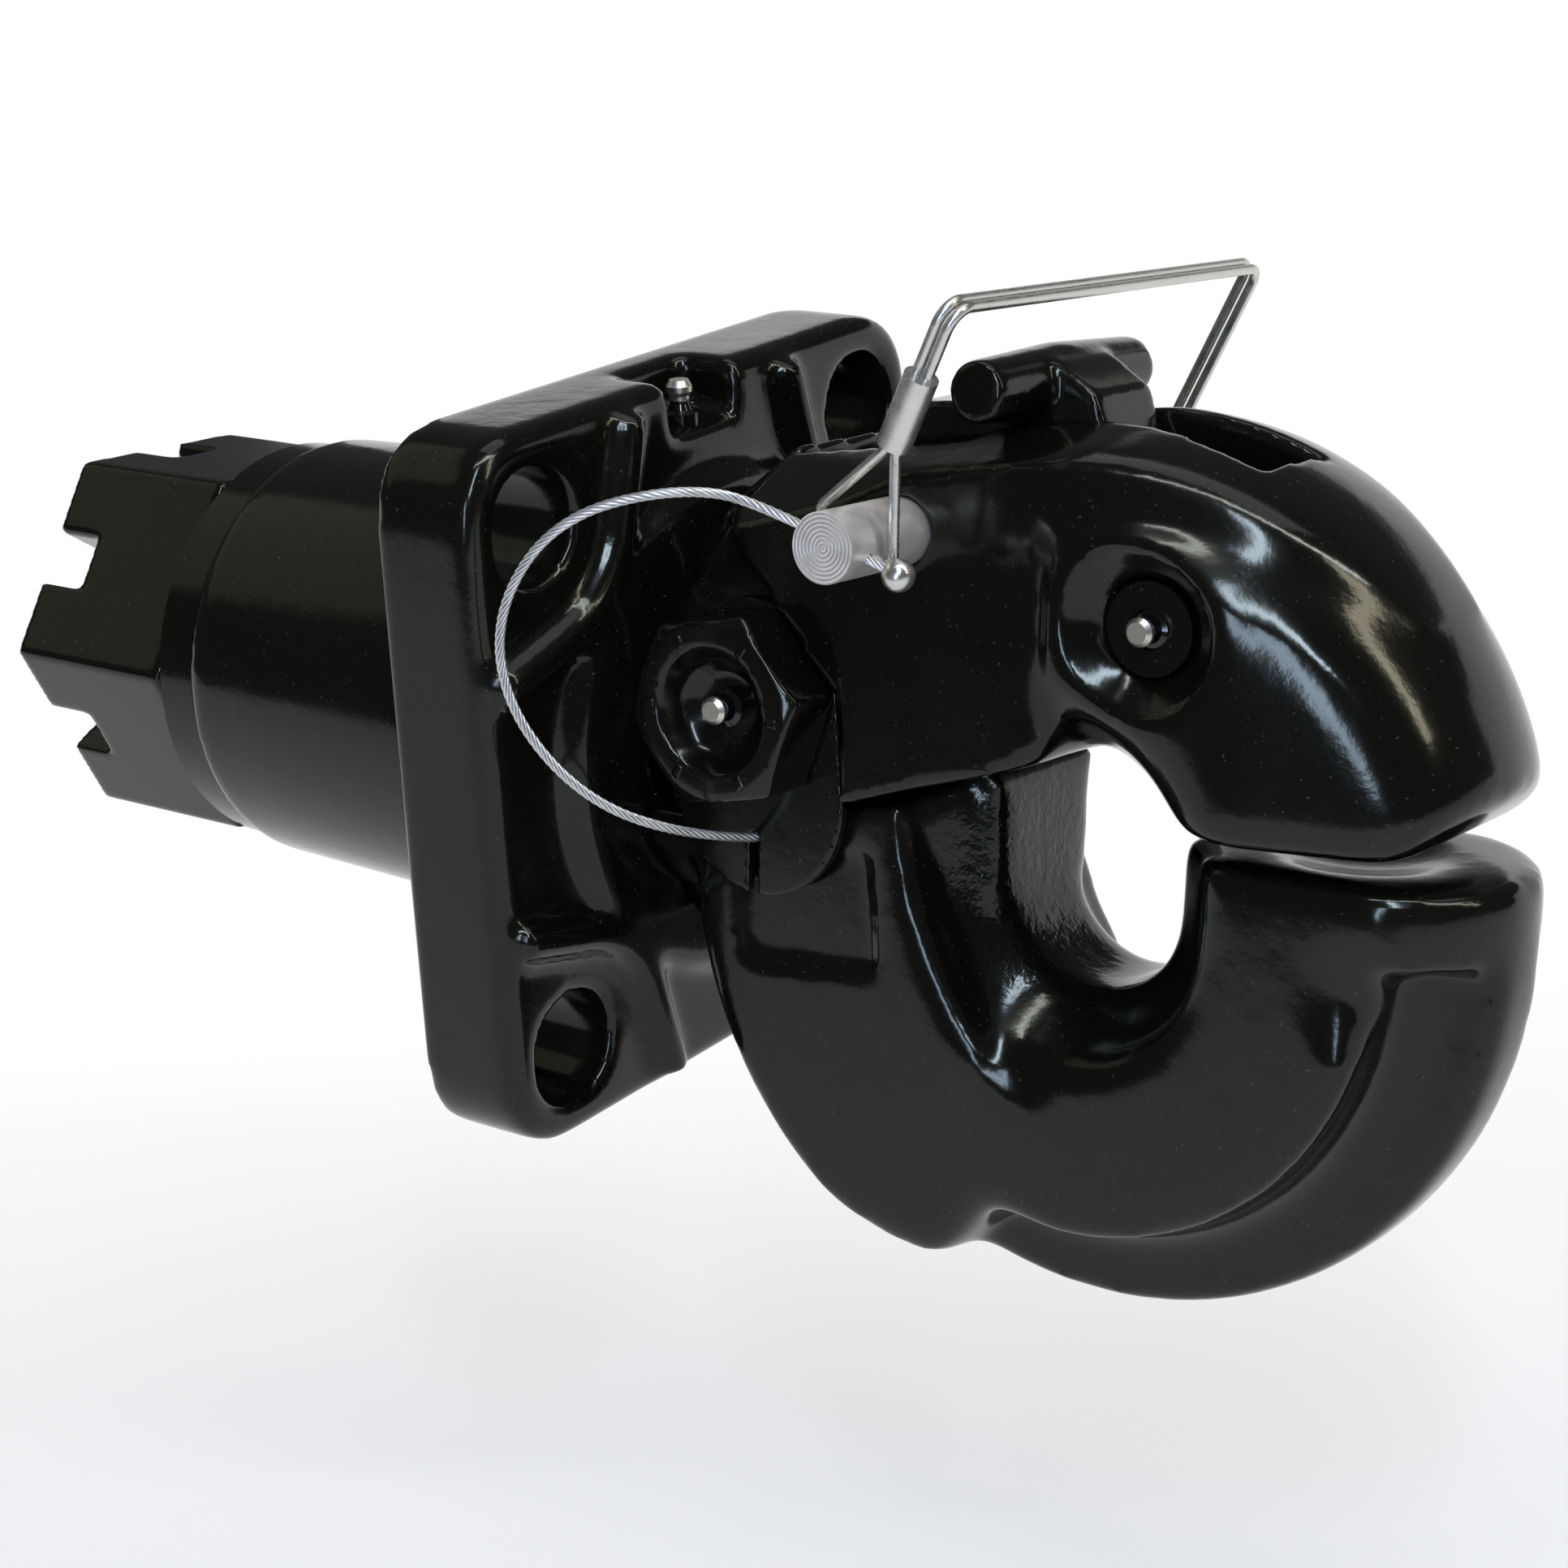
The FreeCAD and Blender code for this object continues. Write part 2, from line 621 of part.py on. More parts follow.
panel_edges = [e for e in panel.Edges if abs(e.tangentAt(0).y) > 0.9]
panel = panel.makeFillet(d.panel_corner_r, panel_edges).rotated(V(84, 0, -32), Y_AXIS, d.panel_tilt)
lip_z = d.jaw_z - d.lip_r
lip_from = V(jaw[0] + d.lip_start, -d.jaw_half, lip_z)
lip = Part.makeCylinder(d.lip_r, d.lip_end - d.lip_start, lip_from, X_AXIS)
for lip_x in (d.lip_start, d.lip_end):
    lip = lip.fuse(Part.makeSphere(d.lip_r, V(jaw[0] + lip_x, -d.jaw_half, lip_z)))
lip = lip.fuse(lip.mirror(V(0, 0, 0), Y_AXIS))
forging = forging.cut(mouth)
forging = forging.cut(latch_space)
forging = forging.cut(ear_space)
forging = forging.cut(ear_slot.fuse(ear_slot_far))
forging = forging.cut(tab_space)
forging = forging.cut(prism(lug_over, -60, 60))
forging = forging.cut(bolt_way)
forging = forging.cut(dish)
forging = forging.cut(panel)
forging = forging.cut(lip)
node("hook_body", forging)



# latch: domed claw turned about the throat, waist and two ears, hollow for the lug and the lever
claw = (d.claw_x, d.claw_z)
lever = (d.lever_x, d.lever_z)
tbar = (d.tbar_x, d.tbar_z)
cavity_half = d.lug_half + d.ear_side_gap


def plan_prism(points):
    """Upright prism over XY points, and its mirror image on the far side."""
    ring = [V(x, y, -d.claw_r) for x, y in points]
    ring.append(ring[0])
    slab = Part.Face(Part.makePolygon(ring)).extrude(V(0, 0, 3 * d.claw_r))
    return slab.fuse(slab.mirror(V(0, 0, 0), Y_AXIS))


def claw_section():
    """Claw's section on the upright plane over the throat, radius upwards and width along Y."""
    rise = d.claw_r - d.claw_side_r
    dome_r = (d.claw_half ** 2 + rise ** 2) / (2 * rise)
    dome_angle = math.asin(d.claw_half / dome_r) / 2
    dome = (d.claw_r - dome_r + dome_r * math.cos(dome_angle), dome_r * math.sin(dome_angle))
    side = [(d.claw_inner_r, 0), (d.claw_inner_r, 20), (d.claw_inner_r + 12, d.claw_half - 3),
            (d.claw_inner_r + 18, d.claw_half), (d.claw_side_r, d.claw_half)]
    path = [V(claw[0], y, claw[1] + r) for r, y in side]
    edges = [Part.makeLine(a, b) for a, b in zip(path, path[1:])]
    edges.append(Part.Arc(path[-1], V(claw[0], dome[1], claw[1] + dome[0]),
                          V(claw[0], 0, claw[1] + d.claw_r)).toShape())
    half_wire = Part.Wire(edges)
    other = half_wire.mirror(V(0, 0, 0), Y_AXIS)
    return Part.Face(Part.Wire(Part.__sortEdges__(half_wire.Edges + other.Edges)))


def ridge_section():
    """Square-shouldered section that carries the waist's top edge on along the claw."""
    rise = d.claw_r - d.ridge_r
    crown_radius = (d.waist_half ** 2 + rise ** 2) / (2 * rise)
    half_angle = math.asin(d.waist_half / crown_radius) / 2
    middle = (d.claw_r - crown_radius * (1 - math.cos(half_angle)), crown_radius * math.sin(half_angle))
    corners = [V(claw[0], y, claw[1] + r) for r, y in (
        (d.ridge_r, d.waist_half), (d.claw_side_r, d.waist_half), (d.claw_side_r, -d.waist_half),
        (d.ridge_r, -d.waist_half))]
    edges = [Part.makeLine(p, q) for p, q in zip(corners, corners[1:])]
    apex = V(claw[0], 0, claw[1] + d.claw_r)
    far_middle = V(claw[0], -middle[1], claw[1] + middle[0])
    near_middle = V(claw[0], middle[1], claw[1] + middle[0])
    edges.append(Part.Arc(corners[-1], far_middle, apex).toShape())
    edges.append(Part.Arc(apex, near_middle, corners[0]).toShape())
    return Part.Face(Part.Wire(edges))


claw_solid = claw_section().revolve(V(claw[0], 0, claw[1]), Y_AXIS, 90)
ridge = ridge_section().revolve(V(claw[0], 0, claw[1]), Y_AXIS, 90)
ridge_bend = (claw[0] + d.ridge_bend_run, d.ridge_bend_half)
ridge_end = claw[0] + d.ridge_run
ridge = ridge.cut(plan_prism([(claw[0], d.waist_half), ridge_bend, (ridge_end, d.ridge_end_half),
                              (2 * ridge_end, d.ridge_end_half), (2 * ridge_end, 2 * d.claw_half),
                              (claw[0], 2 * d.claw_half)]))
claw_solid = claw_solid.fuse(ridge)
tip_x = claw[0] + 81.5
below_tip = outline((claw[0] - 40, d.claw_floor), (tip_x, d.claw_floor), (tip_x + 58, d.claw_floor + 51.6),
                    (tip_x + 58, -60), (claw[0] - 40, -60))
claw_solid = claw_solid.cut(prism(below_tip, -60, 60))
taper_from = claw[0] + d.claw_taper_from
taper_to = claw[0] + d.claw_taper_to
claw_solid = claw_solid.cut(plan_prism([(taper_from, d.claw_half), (taper_to, d.claw_half - d.claw_taper),
                                        (taper_to, 2 * d.claw_half), (taper_from, 2 * d.claw_half)]))

ear_back = [(115, 84.5), (81, 79.5), (66.5, 75), (63.5, 66), (60, 57)]
waist_face = outline(
    polar(pivot, d.ear_r, 135),
    (polar(pivot, d.ear_r, 220), polar(pivot, d.ear_r, 305)),
    (97, -3.2),
    (claw[0] + 0.5, 14.3),
    (claw[0] + 0.5, claw[1] + d.claw_r - 0.5),
    *ear_back,
)
waist = prism(waist_face, -d.ear_pad_half, d.ear_pad_half)
beside = 2 * d.waist_half
waist = waist.cut(plan_prism([(98, d.ear_pad_half), (115, d.waist_half), (152, d.waist_half), (152, beside),
                              (98, beside)]))


def bevel(*points):
    """All that lies above the plane through three points of the near or far side's upper edge."""
    normal = (points[1] - points[0]).cross(points[2] - points[0]).normalize()
    if normal.z < 0:
        normal = normal * -1
    above = Part.makeBox(4 * d.claw_r, 4 * d.claw_r, d.claw_r, V(-2 * d.claw_r, -2 * d.claw_r, 0))
    above.Placement = FreeCAD.Placement(points[0], FreeCAD.Rotation(Z_AXIS, normal))
    side = Part.makeBox(4 * d.claw_r, d.claw_r, 4 * d.claw_r, V(-d.claw_r, 5, -d.claw_r))
    above = above.common(side)
    return above.fuse(above.mirror(V(0, 0, 0), Y_AXIS))


edge_low = V(82, d.waist_half, 67.2)
edge_mid = V(116, d.waist_half, 77.6)
edge_high = V(claw[0], d.waist_half, claw[1] + d.ridge_r)
waist = waist.cut(bevel(edge_low, edge_mid, V(82, 24, 79.5)))
waist = waist.cut(bevel(edge_mid, edge_high, V(claw[0], d.waist_half / 2, claw[1] + d.claw_r - 1.8)))
casting = claw_solid.fuse(waist)

head_normal = math.radians(30 + d.head_turn)
shoulder_gap = d.head_flats / 2 + 0.4


def shoulder_z(x):
    """Height of the shoulder line that locks the bolt head, at a given X."""
    return pivot[1] + (shoulder_gap - math.cos(head_normal) * (x - pivot[0])) / math.sin(head_normal)


recess_front = pivot[0] + 27
recess_face = outline((recess_front, -40), (recess_front, shoulder_z(recess_front)), (45, shoulder_z(45)),
                      (20, shoulder_z(45)), (20, -40))
casting = casting.cut(both_sides(recess_face, d.ear_half, 80))

cavity_r = lug_r + 0.8
lug_space = y_cylinder(cavity_r, pivot[0], pivot[1], -cavity_half, cavity_half)
front_space = outline((110, -30), (wall_x + 1, -30), (wall_x + 1, 3.5), (wall_x - 2.5, 7),
                      (lug_front[0] + 1.4, lug_front[1] + 0.5), (110, lug_front[1] + 0.5))
rear_space = outline(pivot, (118, 85), (118, 120), (20, 120), (20, -20))
casting = casting.cut(lug_space)
casting = casting.cut(prism(front_space, -cavity_half, cavity_half))
casting = casting.cut(prism(rear_space, -cavity_half, cavity_half))
lever_room = outline(
    (55, 130),
    (55, 40),
    (120, 40),
    (150, 27),
    (lever[0] + 8, 27),
    (lever[0] + 19, lever[1] - 8),
    (lever[0] + 19, lever[1] + 12),
    (lever[0] + 13, 88),
    (lever[0] + 16, 130),
)
casting = casting.cut(prism(lever_room, -d.slot_half, d.slot_half))
latch_bores = (
    (d.pivot_r + d.press_gap, pivot),
    (d.lockpin_r + 2 * d.fit_gap, lockpin),
    (d.lever_pin_r + d.fit_gap, lever),
)
for bore_r, at in latch_bores:
    casting = casting.cut(y_cylinder(bore_r, at[0], at[1], -2 * d.ear_pad_half, 2 * d.ear_pad_half))
recess_mouth = -d.lever_pin_near - d.recess_depth
recess_at = V(lever[0], -d.lever_pin_near, lever[1])
recess = Part.makeCone(d.recess_floor_r, d.recess_r, d.recess_depth, recess_at, -Y_AXIS)
recess = recess.fuse(y_cylinder(d.recess_r, lever[0], lever[1], recess_mouth - d.recess_depth, recess_mouth))
casting = casting.cut(recess)
casting = casting.cut(recess.mirror(V(0, 0, 0), Y_AXIS))
groove_floor = d.recess_groove - d.lever_pin_near
casting = casting.cut(y_cylinder(d.recess_floor_r, lever[0], lever[1], -d.lever_pin_near, groove_floor))
node("latch", casting)

# pivot bolt with a dished head, tab, nut
tab_back = -d.ear_half - d.tab_room
tab_front = tab_back - d.tab_thick
head_front = tab_front - d.head_height
dish_floor = head_front + 9.5
to_viewer = FreeCAD.Rotation(X_AXIS, 90)
bolt = y_cylinder(d.pivot_r, pivot[0], pivot[1], tab_front - 1, d.ear_half + 24)
head = hexagon(d.head_flats, d.head_turn, V(pivot[0], tab_front, pivot[1]), to_viewer, d.head_height)
corner_r = d.head_flats / math.sqrt(3)
crown = turned_profile([(0, 0), (corner_r + 1, 0), (corner_r + 1, d.head_height - 2.6),
                        (d.head_flats / 2 - 0.6, d.head_height), (0, d.head_height)],
                       pivot[0], pivot[1], tab_front)
dish = turned_profile([(0, d.head_height - 9.5), (8, d.head_height - 9.5), (12, d.head_height - 6.5),
                       (15.5, d.head_height), (15.5, d.head_height + 2), (0, d.head_height + 2)],
                      pivot[0], pivot[1], tab_front)
node("pivot_bolt", bolt.fuse(head.common(crown)).cut(dish).removeSplitter())

tab_low = (pivot[0] + 2, pivot[1] - d.tab_drop)
tab_face = outline((pivot[0] - d.tab_r, pivot[1]),
                   (polar(pivot, d.tab_r, 90), (pivot[0] + d.tab_r, pivot[1])),
                   (tab_low[0] + d.tab_r, tab_low[1]),
                   (polar(tab_low, d.tab_r, -90), (tab_low[0] - d.tab_r, tab_low[1])))
tab = prism(tab_face, tab_front, tab_back)
past_shoulder = outline((20, shoulder_z(20) - 0.5), (150, shoulder_z(150) - 0.5), (150, 150), (20, 150))
tab = tab.cut(prism(past_shoulder, -60, 0))
tab = tab.cut(y_cylinder(d.pivot_r + d.press_gap, pivot[0], pivot[1], -60, 0))
slit_x = tab_low[0] - 1
slit_top = tab_low[1] - 11
slit = Part.makeBox(d.slit_width, 60, 40, V(slit_x - d.slit_width / 2, -60, slit_top - 40))
tab = tab.cut(slit)

pivot_nut = body("pivot_nut")
pivot_nut.Placement = HOOK_TURN.multiply(FreeCAD.Placement(V(pivot[0], 0, pivot[1]), FreeCAD.Rotation()))
pivot_nut_sketch = sketch_on(pivot_nut, "pivot_nut_outline", "XZ_Plane", "-dims.ear_half - dims.face_gap")
regular_hex(pivot_nut_sketch, "dims.head_flats", "dims.head_turn")
circle(pivot_nut_sketch, "dims.pivot_r + dims.thread_gap")
pad(pivot_nut, pivot_nut_sketch, "pivot_nut_pad", "dims.pivot_nut_height", True)

# grease fittings: foot, neck and round tip
FITTING = [(0, 0), (1, 0), (1, 0.29), (0.7, 0.35), (0.54, 0.49), (0.54, 0.65), (0.72, 0.75), (0.72, 0.87),
           (0.52, 1), (0, 1)]


def grease_fitting(name, seat, way, height, turned=True):
    points = [V(r * d.fitting_r, 0, h * height) for r, h in FITTING]
    points.append(points[0])
    shape = Part.Face(Part.makePolygon(points)).revolve(V(0, 0, 0), Z_AXIS, 360)
    shape.Placement = FreeCAD.Placement(seat, FreeCAD.Rotation(Z_AXIS, way))
    return node(name, shape, turned)


pin_seat = -d.lever_pin_near + 3
plate_seat = V(d.fitting_x, 0, fitting_floor)
grease_fitting("plate_grease_fitting", plate_seat, Z_AXIS, d.plate_fitting_height, False)
grease_fitting("pivot_grease_fitting", V(pivot[0], dish_floor, pivot[1]), V(0, -1, 0), d.fitting_height)
grease_fitting("lever_grease_fitting", V(lever[0], pin_seat, lever[1]), V(0, -1, 0), d.fitting_height)

# lever pin, clip, lever and spring
clip_low = d.lever_pin_far - 2.2
lever_pin = y_cylinder(d.lever_pin_r, lever[0], lever[1], -d.lever_pin_near, d.lever_pin_far)
groove = y_cylinder(d.lever_pin_r + 2, lever[0], lever[1], clip_low, clip_low + d.clip_thick + 2 * d.fit_gap)
groove = groove.cut(y_cylinder(d.clip_groove_r, lever[0], lever[1], clip_low - 1, d.lever_pin_far))
lever_pin = lever_pin.cut(groove)
fitting_bore = y_cylinder(d.fitting_r + d.fit_gap, lever[0], lever[1], -d.lever_pin_near - 1, pin_seat)
lever_pin = lever_pin.cut(fitting_bore)
node("lever_pin", lever_pin)
clip = y_cylinder(d.clip_r, lever[0], lever[1], clip_low + d.fit_gap, clip_low + d.fit_gap + d.clip_thick)
clip = clip.cut(y_cylinder(d.clip_groove_r + d.fit_gap, lever[0], lever[1], clip_low - 1, d.lever_pin_far))
clip = clip.cut(Part.makeBox(7, 20, 20, V(lever[0] - 3.5, clip_low - 5, lever[1])))
node("lever_pin_clip", clip.Solids[0])

ARM = [
    (1.2616, -0.5570),
    (1.1945, -0.5845),
    (1.0669, -0.4621),
    (0.9190, -0.3611),
    (0.6928, -0.2564),
    (0.2959, -0.2022),
    (-0.0577, -0.2304),
    (0.0577, 0.2304),
    (0.2792, 0.0996),
    (0.6538, 0.1157),
    (0.7941, 0.1832),
    (0.9761, 0.1453),
    (1.0795, 0.0829),
    (1.0438, -0.1033),
    (1.0872, -0.1857),
    (1.2794, -0.4108),
]
span = V(tbar[0] - lever[0], 0, tbar[1] - lever[1])


def on_arm(along, across):
    """Point of the lever's side view, in parts of the span from its hub to its T-bar."""
    return (lever[0] + along * span.x + across * span.z, lever[1] + along * span.z - across * span.x)


arm = outline(*[on_arm(*point) for point in ARM])
handle = prism(arm, -d.lever_half, d.lever_half)
handle = handle.fuse(y_cylinder(d.hub_r, lever[0], lever[1], -d.lever_half, 1))
handle = handle.cut(y_cylinder(d.hub_r + d.spring_room, lever[0], lever[1], 1, 2 * d.lever_half))
for side in (-Y_AXIS, Y_AXIS):
    bar = Part.makeCone(d.tbar_mid_r, d.tbar_end_r, d.tbar_half, V(tbar[0], 0, tbar[1]), side)
    handle = handle.fuse(bar)
lever_bore = y_cylinder(d.lever_pin_r + d.fit_gap, lever[0], lever[1], -2 * d.lever_half, 2 * d.lever_half)
handle = handle.cut(lever_bore)
node("lock_lever", handle)

coil_r = d.lever_pin_r + d.spring_wire_r + 0.1
coil_path = Part.Wire(Part.makeHelix(d.spring_pitch, 3.5 * d.spring_pitch, coil_r).Edges)
coil_ring = Part.Wire(Part.makeCircle(d.spring_wire_r, V(coil_r, 0, 0), Y_AXIS))
coil = coil_path.makePipeShell([coil_ring], True, True)
coil.Placement = FreeCAD.Placement(V(lever[0], 2.6, lever[1]), FreeCAD.Rotation(X_AXIS, -90))
node("lock_spring", coil)

# lock pin with its bail and tether
lean = math.radians(d.bail_lean)
rise_way = V(math.cos(lean), 0, math.sin(lean))
hole_way = V(math.sin(lean), 0, -math.cos(lean))
pin_axis = V(lockpin[0], 0, lockpin[1])
pin = y_cylinder(d.lockpin_r, lockpin[0], lockpin[1], -d.lockpin_near, d.lockpin_far)
through = 4 * d.lockpin_r
wire_at = pin_axis + V(0, d.bail_y, 0) - hole_way * (through / 2)
pin = pin.cut(Part.makeCylinder(d.wire_r + d.fit_gap, through, wire_at, hole_way))
cable_way = V(-0.9507, 0, 0.3100).normalize()
cable_at = pin_axis + V(0, d.cable_hole_y, 0)
pin = pin.cut(Part.makeCylinder(d.cable_r, through, cable_at - cable_way * (through / 2), cable_way))
node("lock_pin", pin)


def bail_point(side, rise, y):
    return pin_axis + hole_way * side + rise_way * rise + V(0, y, 0)


leg_slope = -4.5 / 38.0
leg_base = d.bail_y - 2.5
bail_low = 24.0
tip = d.lockpin_r + d.wire_r + 0.35
top_y = leg_base + leg_slope * (d.bail_rise - bail_low)
strand = d.strand_offset
bail_path = [
    bail_point(-strand, 34, leg_base + leg_slope * (34 - bail_low)),
    bail_point(-strand, bail_low, leg_base),
    bail_point(-d.bail_corner, 0, d.bail_y),
    bail_point(d.bail_corner, 0, d.bail_y),
    bail_point(strand, bail_low, leg_base),
    bail_point(strand, d.bail_rise, top_y),
    bail_point(strand, d.bail_rise, d.bail_far_y),
    bail_point(strand, tip, d.bail_far_y + d.bail_far_spread),
    bail_point(-strand, tip, d.bail_far_y + d.bail_far_spread),
    bail_point(-strand, d.bail_rise, d.bail_far_y),
    bail_point(-strand, d.bail_rise, top_y),
    bail_point(-strand, 36, leg_base + leg_slope * (36 - bail_low)),
]
turn_back = strand - 0.02
bail_bends = [6.0, 2.4, 2.4, 6.0, 5.0, 5.0, turn_back, turn_back, 5.0, 5.0]
node("wire_bail", tube(bail_path, d.wire_r, bail_bends)[0])
ferrule_low = bail_point(0, 26, leg_base + leg_slope * (26 - bail_low))
ferrule_high = bail_point(0, 44, leg_base + leg_slope * (44 - bail_low))
ferrule_way = ferrule_high - ferrule_low
ferrule = Part.makeCylinder(d.ferrule_r, ferrule_way.Length, ferrule_low, ferrule_way)
for side in (-strand, strand):
    wire_from = ferrule_low + hole_way * side - ferrule_way
    ferrule = ferrule.cut(Part.makeCylinder(d.wire_r, 3 * ferrule_way.Length, wire_from, ferrule_way))
node("bail_ferrule", ferrule)

stop_at = cable_at - cable_way * 16.5
CABLE_ROUTE = [
    (stop_at.x, stop_at.y, stop_at.z),
    (cable_at.x + cable_way.x * 18.5, cable_at.y, cable_at.z + cable_way.z * 18.5),
    (79.0, -79.0, 74.5),
    (55.0, -96.0, 67.0),
    (39.5, -99.5, 44.0),
    (40.5, -96.5, 20.0),
    (54.0, -84.0, -2.0),
    (68.5, -61.5, -12.5),
    (slit_x + 0.5, tab_front + 0.9, tab_low[1] - 10.7),
]
cable_points = [V(*point) for point in CABLE_ROUTE]
cable, cable_length, cable_radii = tube(cable_points, d.cable_r)
cable_ratio = cable.Volume / (math.pi * d.cable_r ** 2 * cable_length)
print("cable length %.1f, arcs from %.1f, volume over section by length %.4f" % (
    cable_length, min(cable_radii), cable_ratio))
print("cable route", [tuple(round(v, 2) for v in point) for point in CABLE_ROUTE])
last_run = cable_points[-1] - cable_points[-2]
end_hole = Part.makeCylinder(d.cable_r, 12, cable_points[-1] - last_run * (8 / last_run.Length), last_run)
node("cable_tab", tab.cut(end_hole))
node("tether_cable", cable)
node("cable_stop", Part.makeSphere(d.stop_r, stop_at).cut(cable))

doc.recompute()
for item in doc.Objects:
    if "Invalid" in item.State or "Error" in item.State:
        raise RuntimeError("%s is %s" % (item.Label, item.State))
os.makedirs("parts", exist_ok=True)
for part in NODES:
    shape = part.Shape
    if shape.isNull() or not shape.isValid():
        raise RuntimeError("%s has no valid shape" % part.Label)
    box = shape.BoundBox
    print("%-22s solids %d  %8.1f cm3  x %.1f..%.1f  y %.1f..%.1f  z %.1f..%.1f" % (
        part.Label, len(shape.Solids), shape.Volume / 1000,
        box.XMin, box.XMax, box.YMin, box.YMax, box.ZMin, box.ZMax))
    shape.exportStep("parts/%s.step" % part.Label)
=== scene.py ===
# %% [markdown]
# # A swivel pintle hitch
# The hitch is a forged hook and a set of thick steel castings under gloss black paint, with a few zinc plated
# pieces and a thin steel rope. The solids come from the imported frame. This lesson rounds them as the mould,
# the die and the paint leave them, lays the rope's strands, writes the finishes, and sets the studio up.

# %% Load the frame
import math

import bpy
from mathutils import Matrix, Vector


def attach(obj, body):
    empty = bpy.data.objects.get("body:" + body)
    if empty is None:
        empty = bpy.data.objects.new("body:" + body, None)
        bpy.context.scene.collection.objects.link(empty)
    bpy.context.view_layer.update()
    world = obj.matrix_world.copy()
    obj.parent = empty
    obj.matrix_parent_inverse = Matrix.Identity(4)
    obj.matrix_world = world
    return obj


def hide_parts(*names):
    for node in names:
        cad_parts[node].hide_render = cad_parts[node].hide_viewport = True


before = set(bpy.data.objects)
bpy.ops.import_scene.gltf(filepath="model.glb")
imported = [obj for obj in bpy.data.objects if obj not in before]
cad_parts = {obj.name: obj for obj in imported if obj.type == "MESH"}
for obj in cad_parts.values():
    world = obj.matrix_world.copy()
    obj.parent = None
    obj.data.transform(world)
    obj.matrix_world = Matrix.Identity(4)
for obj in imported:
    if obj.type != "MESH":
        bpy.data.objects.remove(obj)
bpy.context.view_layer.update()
scene = bpy.context.scene
scene.view_settings.view_transform = "Standard"
SWIVEL = math.radians(-6.5)

# %% [markdown]
# ## From the hook's own axes to the frame
# The hook hangs a few degrees round from the plate. Sizes on the hook are easier to read square to the hook, so
# one helper turns such a point, given in millimetres, into the frame's metres.

# %% Turn a hook point into the frame
def on_hook(x, y, z):
    return Matrix.Rotation(SWIVEL, 3, "X") @ Vector((x, y, z)) / 1000


print("pivot", tuple(round(v, 4) for v in on_hook(71, 0, 18)))

# %% [markdown]
# ## Colour values
# Colours are written as they look on a screen. Shaders want linear light, so a short function converts them.

# %% Convert a screen colour
def linear(code):
    values = [int(code[k:k + 2], 16) / 255 for k in (1, 3, 5)]
    return [v / 12.92 if v <= 0.04045 else ((v + 0.055) / 1.055) ** 2.4 for v in values] + [1.0]


print("paint black", [round(v, 4) for v in linear("#0f0e0a")])

# %% [markdown]
# ## A start for every finish
# A finish is a tree of nodes. One small function adds a node, with its settings, values and links, and hands
# back the output that the next node needs. Each finish begins with a Principled shader and Object coordinates,
# which stay on the piece in metres. A Mapping node set to a thousand makes one pattern unit one millimetre.

# %% Add a node, start a finish
def fill(made, inputs):
    """Set or link a node's inputs, given by name or number."""
    for name, value in inputs.items():
        if isinstance(value, bpy.types.NodeSocket):
            made.id_data.links.new(value, made.inputs[name])
        else:
            made.inputs[name].default_value = value


def node(tree, kind, output, inputs, **settings):
    made = tree.nodes.new("ShaderNode" + kind)
    for name, value in settings.items():
        setattr(made, name, value)
    fill(made, inputs)
    return made.outputs[output]


def start_finish(name):
    finish = bpy.data.materials.new(name)
    finish.use_nodes = True
    tree = finish.node_tree
    place = node(tree, "TexCoord", "Object", {})
    millimetres = node(tree, "Mapping", "Vector", {"Vector": place, "Scale": (1000, 1000, 1000)})
    return finish, tree, tree.nodes["Principled BSDF"], place, millimetres


def about(spot, scale, turn=0.0):
    """Mapping values that make a spot the pattern's middle, turned about X and scaled."""
    moved = Matrix.Rotation(turn, 3, "X") @ Vector(spot) * -scale
    return {"Location": moved, "Rotation": (turn, 0, 0), "Scale": (scale, scale, scale)}


print("node helpers ready")

# %% [markdown]
# ## Gloss black paint on cast and forged steel
# The paint is thick and wet looking, so its coat is smooth. Under it the metal keeps slow waves a centimetre
# or two long and a fine grain, and dust sits on it as small pale specks. Waves and grain go to the bump, the
# specks to the colour. In the hook's throat the rough forged skin shows through, so one spot can be rougher.

# %% Gloss black paint
WAVE_MM, GRAIN_MM, CLOUD_MM, PIT_MM = 14, 1.6, 40, 3.2
# real dust is finer: it is drawn near a millimetre so that it shows
DUST_MM = 10 / 11
PIT_DEPTH_MM = 0.35


